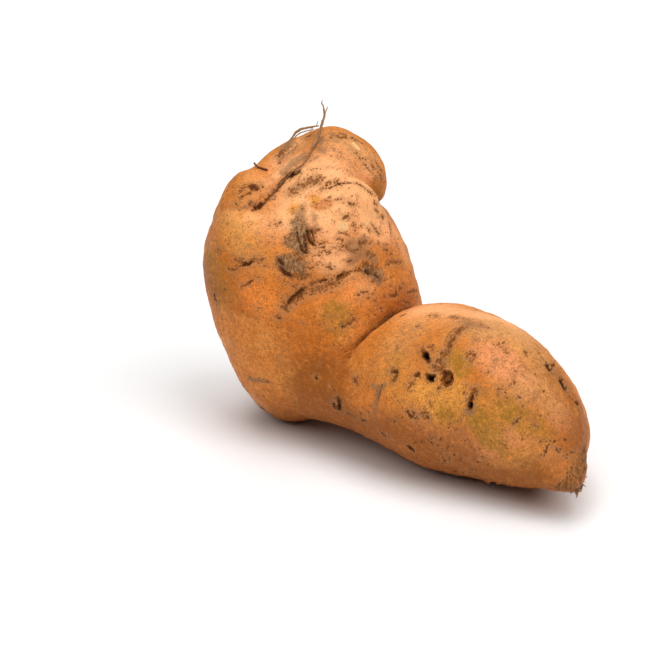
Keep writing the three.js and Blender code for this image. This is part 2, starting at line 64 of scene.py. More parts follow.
GROOVES = [   # lines on the skin: x, y, z, depth
    {'name': 'root_fold', 'width': 2.3, 'line': [(-26.9, 9.6, 102.9, 2.6), (-25, 10.8, 104.8, 2.6), (-22.6, 12.6, 107, 2.3), (-19.1, 14.8, 110.1, 2.1), (-16.3, 16.4, 112.7, 2), (-13.9, 17.5, 115.1, 2), (-11.5, 18.2, 117.2, 2), (-9.1, 18.4, 119, 1.9), (-7.2, 19.5, 121.1, 1.6), (-6, 20.8, 122.8, 1.2), (-4.4, 22.9, 125.2, 0.7), (-2.8, 25.1, 127.1, 0.2)]},
    {'name': 'fold_ridge', 'width': 4.6, 'line': [(-26.6, 12.4, 107.1, -0.9), (-23.5, 14.7, 109.3, -1.5), (-19.5, 17.8, 112.5, -1.9), (-15.2, 19.8, 116.1, -1.9), (-10.8, 20.3, 119.3, -1.7), (-7.2, 21.7, 122.6, -0.8)]},
    {'name': 'crown_hollow', 'width': 5, 'line': [(-24, 20.4, 113.5, 0.8), (-20.5, 23.5, 116, 2), (-17.7, 27.1, 119.1, 2.4), (-14.1, 29.1, 121.9, 2), (-10.1, 28.9, 124.2, 1.2), (-6, 27.8, 126.4, 0.3)]},
    {'name': 'shoulder_line', 'width': 1.6, 'line': [(-42.6, 20, 100.9, 0.2), (-41.2, 17, 101.6, 0.6), (-37, 12.5, 102.9, 0.8), (-33.7, 10.6, 102.8, 0.9), (-30.1, 9.7, 102.7, 1), (-27.3, 9.4, 102.6, 1)]},
    {'name': 'waist_band', 'width': 5.5, 'line': [(-23.4, -4.3, 66.2, 0), (-17.8, -5.9, 68.9, 0.4), (-12.6, -6.5, 71.6, 0.8), (-7.1, -6.4, 74.5, 0.9), (1.2, -5.1, 76.9, 0.9), (6.7, -3.2, 79.2, 0.9), (12.7, 0, 81.1, 0.9), (18.7, 4.3, 81.7, 0.8), (25.3, 10.5, 80.6, 0.6), (31.2, 18.3, 78, 0.2)]},
    {'name': 'tip_ring', 'width': 2.6, 'line': [(97.6, -58.1, 27.1, 1.3), (95.2, -64.1, 29.4, 1.1), (92.4, -67.9, 31.1, 0.8), (89.5, -69.6, 32.3, 0.5), (86.5, -70.2, 33.3, 0)]},
    {'name': 'back_furrow_middle', 'width': 6, 'line': [(-7.7, 62.3, 102.7, 0), (-4.1, 65.9, 91.4, 0.8), (-2.1, 69.3, 77.9, 1.3), (-5, 70.1, 62, 1.4), (-8.9, 71.2, 48.2, 1), (-9.6, 71, 35.6, 0)]},
    {'name': 'back_furrow_left', 'width': 6.5, 'line': [(-39.7, 39.8, 97.8, 0), (-42.3, 50.2, 86.1, 0.7), (-39.9, 56, 70, 1.2), (-34.2, 60.3, 56, 1), (-27.2, 65.6, 41.9, 0)]},
    {'name': 'back_furrow_right', 'width': 5.5, 'line': [(24, 49.5, 89.5, 0), (27.1, 52.9, 78.9, 0.8), (29.6, 53.8, 65.7, 1), (29, 56, 54, 0)]},
    {'name': 'back_neck', 'width': 4, 'line': [(-21.3, 54.5, 109.5, 0.2), (-13.8, 59.3, 107.6, 1), (-1.8, 60.6, 107.1, 1.3), (9.9, 56.8, 105.8, 0.4)]},
    {'name': 'side_furrow_upper', 'width': 5.5, 'line': [(50, 16.2, 56.2, 0), (64.1, 12.2, 56.6, 0.7), (79.8, 4.3, 52.3, 0.9), (91.6, -8.1, 45.8, 0.8), (97.6, -21.9, 39.9, 0)]},
    {'name': 'side_furrow_lower', 'width': 5, 'line': [(58.7, 23.7, 34.2, 0), (70.4, 20.1, 29.3, 0.6), (83.9, 11, 23.4, 0.8), (94.4, -2.7, 20, 0)]},
    {'name': 'left_furrow', 'width': 6, 'line': [(-50.1, 27.9, 69.9, 0), (-48.3, 33, 58.1, 0.7), (-45.1, 37.8, 46.2, 0.8), (-41, 42.2, 35.7, 0)]},
    {'name': 'shoulder_valley', 'width': 3.6, 'line': [(-25, 22, 114.8, 0.9), (-24.4, 17.5, 113, 1.5), (-24.8, 14.2, 110.8, 1.5), (-27.5, 13.2, 109.6, 1), (-31, 13.3, 109.2, 0.5)]},
    {'name': 'shoulder_lump', 'width': 5, 'line': [(-29.5, 16.5, 112, -1), (-31.5, 16, 110.5, -1)]},
    {'name': 'fold_roll', 'width': 3.8, 'line': [(-27, 11.5, 106.5, -0.5), (-23, 14.5, 110, -0.8), (-18.5, 17.5, 114, -1), (-13.5, 19.8, 118, -1), (-9.5, 22, 121.5, -0.6)]},
    {'name': 'fold_cleft', 'width': 1.2, 'line': [(-26.9, 9.6, 102.9, 1.3), (-22.6, 12.6, 107, 1.3), (-16.3, 16.4, 112.7, 1.2), (-11.5, 18.2, 117.2, 1), (-7.2, 19.5, 121.1, 0.6)]},
]
SHOULDER_SWELL = [((18, 18, 105.5), -3, 8.5), ((12.5, 14.5, 111.5), -3, 8.5)]   # place, height, reach
KNOB_SWELL = [((18.5, 22, 107), 1.5, 8), ((13.5, 18.5, 112), 1.5, 8)]   # place, height, reach
SIDE_SWELL = [((9, -12, 44), -3.4, 9), ((18, -13, 54), -1.2, 9)]   # place, height, reach
PITS = [
    {'at': (-27.7, 9.8, 103.3), 'depth': 0.8, 'radius': 3},
    {'at': (-30, 19.2, 113), 'depth': -1.4, 'radius': 7},
    {'at': (-31, 14.6, 109.7), 'depth': 0.9, 'radius': 4},
    {'at': (92.6, -71.3, 25), 'depth': -1.2, 'radius': 6.5},
    {'at': (-23.7, 65.3, 83.8), 'depth': 1, 'radius': 5.5},
    {'at': (14.6, 65.1, 70.1), 'depth': -1.2, 'radius': 11},
    {'at': (12.8, 65.9, 58), 'depth': 0.9, 'radius': 4},
    {'at': (-30.8, 63.1, 60), 'depth': -1, 'radius': 10},
    {'at': (72.7, 16.8, 44.2), 'depth': 0.9, 'radius': 4},
    {'at': (60.6, 20.3, 47), 'depth': -1, 'radius': 10},
    {'at': (98.3, -7.9, 32.5), 'depth': 0.8, 'radius': 3.5},
]
# strokes and patches on the skin: kind, half-width in mm, strength, places
# the dark-brown shade patches in this list are painted shade: under the knob, low on the lobes, along the creases
# and at the base
MARKS = [
    ('scar', 2.2, 0.95, [(-8.1, 34.2, 126), (-6.9, 32.7, 126.6), (-5.7, 33.2, 127.5)]),
    ('scar', 1.9, 0.79, [(4.4, 26.2, 128.4), (5.6, 28.2, 128.8), (7.6, 29.2, 128.3), (8.4, 28, 127.6)]),
    ('scar', 1.7, 0.9, [(5.2, 25.5, 128), (8.4, 27.6, 127.5)]),
    ('crack', 1.3, 0.8, [(8.4, 28, 127.6), (10, 28.3, 126.9), (11.7, 30.1, 126.4), (13.3, 30.1, 125.4), (14.9, 30.6, 124.4)]),
    ('crack', 1.3, 0.65, [(11.7, 30.1, 126.4), (12.9, 28.4, 125.2), (12.4, 27, 124.9)]),
    ('scar', 1.8, 0.68, [(13.8, 36.5, 125.5), (14.6, 36.6, 125)]),
    ('pale', 2, 1, [(11.6, 26.3, 125.1), (13.2, 25.6, 123.6)]),
    ('scar', 2.1, 0.64, [(11.6, 22.3, 122.4), (12.8, 22.9, 121.9), (14.4, 22.8, 120.1), (16.4, 23.8, 118.8), (18.1, 24.6, 117.5)]),
    ('scar', 1.8, 0.68, [(16.4, 24, 119.1), (18.1, 26, 119.2)]),
    ('scar', 1.6, 0.8, [(18.5, 24.9, 117.2), (20.5, 26, 114.9), (22.2, 27.3, 112.4), (23.9, 29.3, 108.1)]),
    ('crack', 1.2, 0.7, [(13.2, 22, 120.5), (15.6, 22.5, 117.9), (18.1, 23.5, 115.1), (21, 25.4, 111.3)]),
    ('scar', 1.6, 0.7, [(20.1, 28, 118.1), (21.4, 28.1, 116), (23.1, 29.1, 112.8)]),
    ('crack', 1.2, 0.55, [(-6.3, 14.5, 117.4), (-3.6, 13.9, 118.1), (-0.8, 13.7, 118.9), (2, 13.4, 119.1), (5.1, 13.5, 118.6), (8.3, 14.5, 117.6), (9.9, 15.3, 116.5)]),
    ('crack', 1.2, 0.9, [(12.3, 13.1, 112.4), (14.7, 14.1, 111.1), (16.7, 14.6, 109.3), (18.7, 15.7, 107.4), (22.1, 31.9, 99.6)]),
    ('scar', 1.6, 0.7, [(17.9, 14.9, 108), (19.6, 17, 106.8)]),
    ('scar', 1.5, 0.75, [(2, 24.5, 128), (3.2, 28, 129.2)]),
    ('dirt', 3.4, 0.8, [(-2.4, 30.9, 128.9), (-1.2, 25.6, 127.8), (-1.6, 21.4, 125.5)]),
    ('dirt', 3.8, 0.75, [(-4.4, 23, 124.7), (-2.4, 19.9, 124.3), (-0.4, 18.5, 123.8)]),
    ('dirt', 5, 0.5, [(3.6, 24.1, 127.7), (8, 24.1, 126.1), (12.4, 24, 123.2)]),
    ('dirt', 5, 0.55, [(17.3, 27.9, 121.4), (21, 28.5, 117.1), (23.5, 29.3, 111.5)]),
    ('dirt', 4.6, 0.95, [(-16.7, 17.1, 116), (-13.9, 18.5, 118.9), (-11.1, 19.4, 121), (-8.8, 20.2, 121.4)]),
    ('dirt', 3.8, 0.8, [(-14.7, 17.9, 114.2), (-12.3, 17.7, 115), (-9.9, 16.8, 116.9)]),
    ('scar', 2.4, 0.85, [(-13.5, 17.3, 113.9), (-11.9, 16.1, 115.1), (-10.3, 15.3, 115.9)]),
    ('dirt', 3, 0.7, [(-9.1, 17.4, 117.6), (-6.4, 17.9, 119.9), (-3.6, 17.4, 121.7)]),
    ('crack', 1.3, 1.1, [(-26.2, 11.6, 102.7), (-23.9, 12.7, 104.7), (-21.5, 14.2, 107.2), (-19.1, 15.6, 109.4), (-16.3, 17.3, 112.7), (-13.5, 18.3, 115.3)]),
    ('crack', 1, 0.6, [(-13.5, 18.3, 115.3), (-11.2, 18.7, 116.8), (-9.2, 19, 118.4), (-7.6, 20.2, 120.5), (-5.6, 21, 122.8)]),
    ('dark', 1.9, 1, [(-13.3, 18.1, 114.7), (-11.7, 17.2, 115.4), (-10.5, 16.4, 116.4)]),
    ('dirt', 3.2, 0.6, [(-18.3, 35.2, 120.8), (-15.9, 36.2, 122.2), (-13.4, 33.7, 122.4)]),
    ('dirt', 2.8, 0.65, [(-19.8, 32.2, 118.6), (-17.8, 32.6, 119.8), (-14.6, 31.6, 120.4)]),
    ('scar', 1.7, 0.85, [(-18.6, 33, 119.7), (-16.7, 35.3, 121.6)]),
    ('dark', 2.2, 1, [(-29.2, 14.3, 110.4), (-28.2, 14.3, 110.6), (-27.2, 13.9, 110.1)]),
    ('scar', 2, 0.9, [(-33.8, 14.2, 109.2), (-32.6, 14.6, 110.2), (-30.6, 14.6, 110.8)]),
    ('scar', 1.6, 0.85, [(-33.8, 13.8, 108.5), (-31.4, 14, 109.5)]),
    ('crack', 1.3, 1, [(-33.8, 12.5, 106.6), (-32.2, 12.7, 107.6), (-29.8, 12.8, 108.4)]),
    ('scar', 1.6, 0.7, [(-25.1, 16.1, 111.8), (-24.6, 14.1, 110.3)]),
    ('scar', 2.2, 0.8, [(-29.5, 10.8, 104.6), (-28.6, 11.3, 103.3)]),
    # painted shade inside the open pit where the long rootlet starts
    ('dark', 1.6, 0.95, [(-27.6, 11.4, 102.5), (-26.4, 11.8, 103.1), (-25.5, 12.2, 104.2)]),
    ('dirt', 3.6, 0.75, [(-28.9, 10.9, 105), (-27.4, 11.6, 104.4)]),
    ('scar', 1.5, 0.68, [(-41.3, 18, 101.3), (-41, 16.6, 100.5)]),
    ('scar', 1.5, 0.75, [(-35.8, 12.7, 104.7), (-35.2, 12.2, 103.4)]),
    ('scar', 1.5, 0.42, [(-38.7, 14.8, 102.2), (-36.6, 13, 102.8)]),
    ('crack', 1.3, 0.42, [(-41.7, 18.3, 100.7), (-39.6, 15.4, 101.6), (-37, 13.2, 102.5), (-33.8, 11.3, 102.4), (-30.6, 10.7, 102.6)]),
    ('dirt', 2.6, 0.6, [(-37, 12.5, 101.7), (-32.6, 11.1, 102.9), (-30.2, 10.9, 103.2)]),
    ('dirt', 3.4, 0.5, [(-39.8, 23.1, 108.2), (-37.2, 19.3, 110.9), (-33.5, 19.1, 113.8)]),
    ('ring', 1.7, 0.62, [(-33.1, 7.3, 94.7), (-32.5, 7.8, 96.7), (-30.9, 7.8, 98.1), (-29.3, 7.7, 98.7), (-29.3, 7.1, 97.5), (-30.5, 6.6, 95.6), (-32.1, 6.8, 94.5), (-33.1, 7.3, 94.7)]),
    ('scar', 1.5, 0.5, [(-31.3, 4.3, 89.7), (-30.1, 3.6, 89.5)]),
    ('dirt', 2.4, 0.5, [(-32.1, 4.3, 88.8), (-29.7, 3.6, 89.9)]),
    ('band', 3.4, 0.95, [(-13.5, 11.2, 109.6), (-11.1, 11.2, 111.1), (-8.3, 11, 112.6), (-5.5, 10.9, 113.8), (-3.2, 10.7, 114.5)]),
    ('dirt', 3.2, 0.55, [(-12.7, 10.7, 109.6), (-9.5, 10.5, 111.3)]),
    ('scar', 1.6, 0.85, [(0.4, 8.8, 113), (1.2, 9.4, 114), (2.4, 9.3, 113.9)]),
    ('scar', 1.7, 0.95, [(3.5, 9.5, 114), (5.1, 9.7, 113.8), (6.3, 9.6, 113)]),
    ('crack', 1.2, 0.8, [(3.5, 8.5, 112.7), (5.1, 9.2, 113.1), (6.7, 10.1, 113.2), (10.7, 12.1, 112.7)]),
    ('scar', 1.6, 0.8, [(-2, 7.8, 111.2), (0, 7.8, 111.6), (2, 8.1, 112.2), (3.5, 8.3, 112.3)]),
    ('scar', 1.3, 0.8, [(-5.9, 9.7, 112.3), (-5.1, 9.9, 112.9)]),
    ('scar', 1.4, 0.8, [(-1.2, 10.4, 114.8), (-0.4, 10.5, 115.2)]),
    ('scar', 1.7, 0.48, [(-5.1, 6.7, 108.9), (-3.9, 6.2, 108.6)]),
    ('scar', 1.9, 0.55, [(-4.9, 5.4, 107.2), (-3.5, 4.8, 106.6)]),
    ('gold', 1.6, 1, [(-5.5, 5.8, 107.5), (-3.9, 6, 108.3)]),
    ('scar', 1.2, 0.36, [(-5.9, 6.3, 108), (-4.3, 6.3, 108.6)]),
    ('scar', 2, 0.8, [(-9.1, 5.2, 105.2), (-7.9, 5.1, 105.7)]),
    ('scar', 1.6, 0.8, [(-9.4, 5, 104.9), (-8.1, 4.3, 104.5)]),
    ('pale', 1.6, 0.6, [(-7.1, 5.3, 106.2), (-5.9, 5.7, 107.3)]),
    ('crack', 1.3, 0.57, [(-3.9, 3.9, 105.2), (-2.7, 3.5, 104.7), (-0.4, 3.5, 104.9), (1.6, 3.9, 105.4)]),
    ('crack', 1.2, 0.51, [(-1.2, 3.3, 104.6), (0.4, 2.7, 103.3)]),
    ('scar', 1.5, 0.59, [(-0.4, 5.2, 107.7), (1.2, 5.3, 107.8), (2.8, 5.2, 107.4)]),
    ('crack', 1.2, 0.28, [(-2, 4.1, 105.8), (-0.4, 4.7, 106.8), (0, 5.2, 107.7)]),
    ('gold', 2, 1.1, [(-13, 5.9, 104), (-11.4, 5.6, 104.5)]),
    ('scar', 1.5, 0.6, [(-12.6, 5.8, 104), (-11, 5.4, 104.6)]),
    ('scar', 1.4, 0.48, [(-5.1, 6.8, 109.1), (-4.3, 7, 109.5)]),
    ('scar', 1.4, 0.9, [(5.1, 6, 107.8), (7.1, 6.7, 107.8)]),
    ('scar', 1.9, 0.9, [(9.9, 7.3, 105.8), (11.1, 7.8, 105.1)]),
    ('scar', 1.3, 0.75, [(5.7, 4.2, 103.7), (5.9, 3.9, 102.8)]),
    ('scar', 1.3, 0.6, [(3.1, 1.7, 100.3), (3.5, 1.5, 99.6)]),
    ('scar', 2.1, 1, [(7.8, 4.1, 101.1), (9.1, 4.9, 101.2)]),
    ('scar', 1.5, 0.85, [(19.7, 14.8, 103.9), (21, 16.7, 102.5)]),
    ('scar', 1.4, 0.8, [(20.4, 14.9, 101.2), (21.2, 16, 99.8)]),
    ('scar', 1.3, 0.7, [(12.7, 10, 108.1), (13.3, 10.3, 107.8)]),
    ('pale', 1.8, 0.7, [(19.5, 13.3, 99.8), (20.4, 14.1, 98.5)]),
    ('scar', 1.4, 0.9, [(22.3, 17.5, 97.5), (22.9, 18.4, 96.4)]),
    ('pale', 2.7, 1.1, [(6.5, 2.2, 98.3), (7.7, 2.5, 97.6)]),
    ('torn', 3.4, 1, [(-11.2, 1.9, 99.5), (-10.6, 0.5, 97.4), (-10.4, -0.9, 95), (-9.4, -2.1, 92.5), (-8.2, -3.1, 89.9)]),
    ('torn', 2.6, 0.9, [(-9.4, 0.8, 98.6), (-8.2, -0.5, 96.5), (-8.4, -1.5, 94.3)]),
    ('torn', 2.8, 0.95, [(-14.5, -1, 92.6), (-13, -1.7, 91.8), (-11, -2.4, 90.9)]),
    ('dirt', 5.6, 0.95, [(-9.8, 3.6, 102.6), (-8.6, 1.5, 100), (-7.5, -0.3, 97.2)]),
    ('dirt', 4, 0.75, [(-4.7, 2.6, 102.9), (-3.5, 0.9, 100.2), (-4.3, -0.3, 97.7)]),
    ('dirt', 6, 0.85, [(-12.2, -0.5, 94.9), (-10.2, -2.4, 91.4), (-9.8, -3.7, 87.6)]),
    ('scar', 2.2, 1.25, [(-6.5, -0.7, 96.6), (-6.1, -1.5, 94.8), (-5.1, -2.4, 92.6)]),
    ('dark', 1.1, 0.9, [(-7.1, -0.5, 96.9), (-6.9, -1.3, 95.1), (-6.1, -2.2, 93.1), (-4.4, -2.7, 91.6)]),
    ('dark', 1.1, 0.8, [(-5.5, -0.5, 97.1), (-4.9, -1.1, 95.9), (-4.5, -1.7, 94.4)]),
    ('scar', 1.7, 1, [(-6.1, -0.5, 97.1), (-4.3, -0.7, 96.8), (-2.7, -0.5, 97.3)]),
    ('dark', 1.2, 0.95, [(-8, -2.2, 92.5), (-7.6, -2.8, 91.1), (-7.3, -3.5, 88.8)]),
    ('dark', 1.1, 0.8, [(-11, -0.2, 96), (-10.8, -1.1, 94.2), (-9.9, -2, 92.5)]),
    ('dark', 1.3, 0.95, [(-9.6, -2.5, 91.4), (-9.2, -3, 89.9), (-8.2, -3.4, 89)]),
    ('dark', 1.4, 0.9, [(-8, -1.2, 95.1), (-7.9, -1.8, 93.6)]),
    ('scar', 1.5, 0.8, [(-15.7, 0.1, 94.1), (-14.9, -0.5, 93.4)]),
    ('scar', 1.8, 0.8, [(-13.4, -0, 95.1), (-14.5, -0.7, 93.3)]),
    ('scar', 1.4, 0.8, [(-11.6, 2.2, 99.8), (-10.6, 2.2, 100.2)]),
    ('torn', 3.6, 0.95, [(-17.3, -3.2, 85), (-16.3, -3.9, 83.6), (-14.5, -4.5, 82.1), (-13, -4.6, 82.8)]),
    ('torn', 3.6, 0.8, [(-12.2, -4.3, 84.5), (-9.4, -4.9, 82.3)]),
    ('scar', 3, 0.8, [(-11.4, -3.7, 86.8), (-9.8, -4.5, 84.6), (-8.6, -4.9, 82.3)]),
    ('scar', 2.6, 0.8, [(-14.9, -4.3, 82.9), (-12.6, -4.9, 81.4)]),
    ('dirt', 4.2, 0.9, [(-17.7, -2.8, 86.1), (-16.1, -3.6, 84.7), (-16.5, -4.2, 82)]),
    ('torn', 3, 0.7, [(-16.1, -3.1, 86.2), (-13.7, -3.9, 85.2)]),
    ('scar', 2.6, 0.95, [(-13, -4.5, 83), (-10.2, -5, 81.5), (-7.9, -5.2, 79.9)]),
    ('dirt', 5, 1, [(-13.7, -3.4, 86.7), (-9, -4.5, 84.6)]),
    ('scar', 3, 0.8, [(-14.1, -4.7, 81.4), (-11.4, -5.1, 80.7), (-8.6, -5.2, 79.1)]),
    ('scar', 2.6, 0.75, [(-17.7, -3.1, 85), (-16.1, -3, 86.6), (-13.7, -3.2, 87.5)]),
    ('dark', 2, 0.95, [(-17.3, -3.9, 82.6), (-16.1, -4.6, 80.9), (-14.1, -5, 80.2)]),
    ('scar', 2.2, 1, [(-16.1, -4.6, 80.5), (-13.8, -5.1, 79.8), (-10.6, -5.3, 79.3)]),
    ('dark', 2, 0.9, [(-17.9, -3, 85.4), (-16.9, -3.6, 84.1)]),
    ('scar', 3.4, 0.95, [(-12.6, -4.1, 85.1), (-10.6, -4.1, 85.7), (-9, -3.9, 86.9)]),
    ('scar', 2.8, 0.9, [(-11.4, -3.3, 88.3), (-9.8, -3.8, 87.3)]),
    ('scar', 3, 0.85, [(-9.4, -4.8, 83.1), (-8.2, -5.1, 81.1), (-7.1, -5.1, 79.7)]),
    ('scar', 2.2, 0.8, [(-13.3, -4.2, 84.3), (-11.4, -4.7, 83)]),
    ('dirt', 5.2, 0.75, [(-15.7, -3.5, 85.1), (-12.2, -4.4, 83.8), (-9, -4.5, 84.6)]),
    ('scar', 1.7, 0.8, [(-16.1, -5.1, 77.8), (-15.3, -5.3, 77)]),
    ('scar', 2, 0.8, [(-12.6, -5.5, 75.6), (-11, -5.5, 76)]),
    ('scar', 1.7, 0.9, [(-6.3, -4.8, 82.9), (-4.3, -4.6, 83.2)]),
    ('scar', 1.7, 0.8, [(-3.9, -4.5, 84.2), (-1.6, -4.1, 84.7)]),
    ('scar', 2, 0.9, [(0.6, -3.9, 83.2), (2.4, -3.4, 82.2)]),
    ('scar', 1.9, 0.8, [(-2.7, -3.5, 88.6), (-0.8, -3.1, 89.3)]),
    ('scar', 1.8, 0.85, [(0, -2.8, 89.6), (1.6, -2.7, 88.8)]),
    ('scar', 1.8, 0.85, [(-1.6, -2.4, 92), (0.4, -1.9, 92.6)]),
    ('crack', 1.2, 0.9, [(-3.9, -3.1, 90.3), (-1.6, -2.8, 90.7), (0, -2.4, 91.2)]),
    ('scar', 1.6, 0.7, [(-6.3, -3.9, 87.3), (-3.9, -3.8, 87.7)]),
    ('scar', 1.5, 0.8, [(-2.2, -3.6, 87.6), (-1.4, -3.4, 88.4)]),
    ('scar', 1.3, 0.7, [(-10.4, -4.7, 83.4), (-9.8, -4.3, 85.4)]),
    ('scar', 2.4, 0.85, [(-34.5, 3.5, 83.2), (-32.5, 2, 82.7), (-30.5, 0.9, 83.1), (-28, 0.2, 84.5), (-25.2, -0.7, 85.2)]),
    ('dark', 1.9, 0.85, [(-32.1, 1.7, 82.6), (-30.5, 0.8, 82.7), (-29.6, 0.6, 83.6)]),
    ('scar', 1.7, 0.7, [(-34.3, 3.8, 84.4), (-32.5, 2.5, 84.2)]),
    ('scar', 1.8, 0.9, [(-38.5, 5.5, 79.3), (-36.6, 3.9, 79.2)]),
    ('crack', 1.3, 0.75, [(-36.6, 3.9, 79.4), (-33.7, 2.4, 81.5), (-31.3, 1, 82)]),
    ('scar', 1.6, 0.7, [(-36.6, 5.6, 84.5), (-35.8, 4.6, 83.7)]),
    ('scar', 1.8, 0.75, [(-23.6, -2.1, 83), (-22.4, -2.5, 82.9)]),
    ('scar', 2.1, 0.7, [(-43.8, 13.2, 83.9), (-42.7, 12.3, 85.5), (-41.8, 11, 85)]),
    ('scar', 1.5, 0.6, [(-43.6, 10.9, 77.9), (-42.9, 10.1, 78)]),
    ('scar', 1.4, 0.6, [(-47.4, 17.8, 78.6), (-46.9, 16.7, 78.3)]),
    ('scar', 1.7, 0.85, [(-33.4, 0.8, 73.3), (-31.3, -0.4, 74.7), (-29.9, -1.1, 75.8), (-28.9, -1.4, 77)]),
    ('dark', 1.5, 0.7, [(-30.7, -0.7, 75.2), (-29.9, -1.1, 75.8)]),
    ('scar', 1.7, 0.8, [(-27.3, -2, 77.8), (-26, -2.4, 78.3)]),
    ('scar', 1.5, 0.95, [(-45, 13.3, 65.6), (-44.9, 13.6, 63.8)]),
    ('scar', 2, 0.8, [(-19.5, 4.3, 97.9), (-17.9, 4.1, 98.6)]),
    ('scar', 1.3, 0.6, [(-21.9, 5.5, 98), (-21.8, 4.8, 97.1)]),
    ('scar', 1.3, 0.6, [(-20.9, 2, 93.9), (-20.3, 1.5, 93.4)]),
    ('scar', 1.4, 0.6, [(-43.4, 14.6, 88.9), (-42.3, 12.7, 88.3)]),
    ('scar', 1.5, 0.6, [(-27.8, -2.4, 66.8), (-26.6, -2.9, 65.3)]),
    ('scar', 1.5, 0.55, [(-26.2, -2.9, 63.6), (-25, -3.4, 63)]),
    ('scar', 1.5, 0.55, [(-23.9, -4, 69.9), (-22.9, -4.3, 69.6)]),
    ('band', 3.9, 0.95, [(-15.8, -5.9, 66.8), (-14.2, -5.8, 69.3), (-11.8, -5.8, 71.1), (-9.1, -5.7, 73.2), (-5.9, -5.4, 74.6), (-2, -4.9, 75.4), (1.6, -4.2, 76), (4.7, -3.3, 76.9)]),
    ('dark', 1.5, 0.9, [(-14.4, -5.8, 69.1), (-13, -5.7, 70.9), (-11, -5.7, 72.4), (-9.1, -5.6, 74)]),
    ('scar', 1.8, 1.1, [(-9.8, -5.6, 73.6), (-8.3, -5.5, 74.6)]),
    ('scar', 1.7, 0.9, [(-6.7, -5.3, 75.4), (-5.1, -5.1, 76.3), (-3.5, -4.9, 76.7)]),
    ('crack', 1.2, 0.9, [(-3.1, -4.8, 77), (-1.6, -4.6, 77.6), (0.8, -4.1, 77.8)]),
    ('crack', 1.1, 0.7, [(-10.6, -6, 70.6), (-8.7, -5.9, 71.6)]),
    ('crack', 1.1, 0.7, [(-5.5, -5.6, 73.4), (-3.2, -5.3, 74.1), (-1.6, -5.1, 74.4)]),
    ('scar', 2.2, 1, [(-13.8, -5.8, 69.5), (-11.8, -5.8, 70.9), (-9.9, -5.8, 71.8)]),
    ('scar', 1.9, 1, [(-11.4, -5.6, 72.8), (-9.8, -5.6, 74), (-8.3, -5.5, 74.8)]),
    ('scar', 1.6, 0.95, [(-6.3, -5.3, 75.6), (-4.7, -5.1, 76.5), (-2.8, -4.8, 77), (-0.8, -4.4, 77.8), (0.6, -4.1, 77.8)]),
    ('scar', 1.5, 0.65, [(1.2, -4.4, 75.7), (3.2, -3.9, 75.8), (5.1, -3.3, 76.5), (6.7, -2.7, 77)]),
    ('scar', 1.5, 0.8, [(-6.7, -5.9, 72), (-4.3, -5.7, 72.8), (-2, -5.3, 73.5)]),
    ('scar', 1.7, 0.8, [(-16.4, -5.8, 66.1), (-15.4, -5.9, 67.4)]),
    ('scar', 2.6, 1.15, [(5.1, -2.9, 78.1), (6.3, -2.3, 79.1), (7.7, -1.7, 79.5)]),
    ('dark', 1.6, 0.8, [(5.5, -2.7, 78.4), (6.9, -2.1, 79.2)]),
    ('scar', 1.7, 0.8, [(9.1, -1.2, 79), (9.9, -0.6, 80.2), (11.1, 0.1, 80.4)]),
    ('scar', 1.9, 0.9, [(12.3, 0.5, 79.8), (13.9, 1.5, 80), (15.5, 2.2, 79.3)]),
    ('scar', 2.1, 1, [(15.5, 2.9, 81.2), (16.5, 3.8, 81.9), (17.5, 4.2, 80.7)]),
    ('torn', 3, 0.9, [(16.3, 2.9, 79.7), (18.3, 3.9, 78.9), (19.9, 4.5, 77.7), (21.1, 4.6, 76)]),
    ('dark', 1.6, 0.95, [(16.5, 2.8, 79.3), (17.7, 3.1, 78.2)]),
    ('scar', 1.9, 0.95, [(16.7, 2.9, 79.1), (17.9, 3.3, 78.3), (19.5, 4.4, 78)]),
    ('dark', 1.6, 0.85, [(20.3, 4.5, 77.1), (21.3, 4.7, 75.9)]),
    ('scar', 1.8, 0.85, [(18.7, 2.2, 74.9), (20.3, 3.4, 74.9)]),
    ('dirt', 4.6, 1.1, [(18.3, 3.4, 77.9), (21.5, 4.4, 75), (22.4, 6.2, 76.9)]),
    ('scar', 2.6, 0.95, [(13.9, 1.5, 80.1), (16.3, 2.6, 79), (18.7, 4.2, 78.8)]),
    ('scar', 2.2, 0.95, [(15.5, 3.1, 82.1), (17.1, 3.8, 80.6), (18.7, 5.1, 80.6)]),
    ('scar', 1.7, 0.8, [(19.9, 6, 80.4), (21.6, 6.5, 78.7)]),
    ('dirt', 5.2, 1.35, [(10.3, 1.2, 90.2), (12.2, 2, 88.7), (14.6, 4.2, 89.9)]),
    ('scar', 1.9, 0.8, [(9.9, 0.5, 88.6), (11.8, 1.6, 88), (13.4, 2.8, 88.3)]),
    ('scar', 2.4, 0.95, [(14.2, 4, 90.4), (16.3, 5.9, 90.6)]),
    ('scar', 1.7, 0.8, [(5.1, -1.6, 89.2), (7.5, -0.6, 89.1), (9.9, 0.6, 89)]),
    ('scar', 1.6, 0.8, [(2.4, -2.2, 90.1), (4.3, -1.6, 90.3), (6.7, -0.7, 90.3), (9.9, 1.2, 91)]),
    ('dirt', 4.4, 1.15, [(10.3, 0.2, 84.3), (11.9, 1.3, 85.6), (13.5, 2.4, 86.5)]),
    ('scar', 1.8, 0.7, [(9.1, -0.5, 84.1), (10.7, 0.4, 84.3)]),
    ('scar', 2.2, 0.8, [(17.3, 5.3, 85.6), (19.1, 6.7, 84.5), (18.3, 5.7, 83.4)]),
    ('dirt', 4.2, 1.1, [(16.7, 4.9, 86.1), (19.5, 6.5, 82.7)]),
    ('scar', 1.8, 0.8, [(17.5, 5.5, 85.9), (18.7, 6.3, 84.4), (17.9, 5.3, 83.1)]),
    ('scar', 1.8, 0.95, [(25.1, 10.7, 79.6), (26.8, 12.8, 79.7), (29.1, 15.4, 78.6), (31.2, 18.8, 77.9)]),
    ('scar', 1.5, 0.8, [(23.4, 11.7, 85.6), (24.7, 12.9, 84.6)]),
    ('scar', 1.4, 0.7, [(23.7, 12.5, 86.7), (24.5, 13.7, 86.7)]),
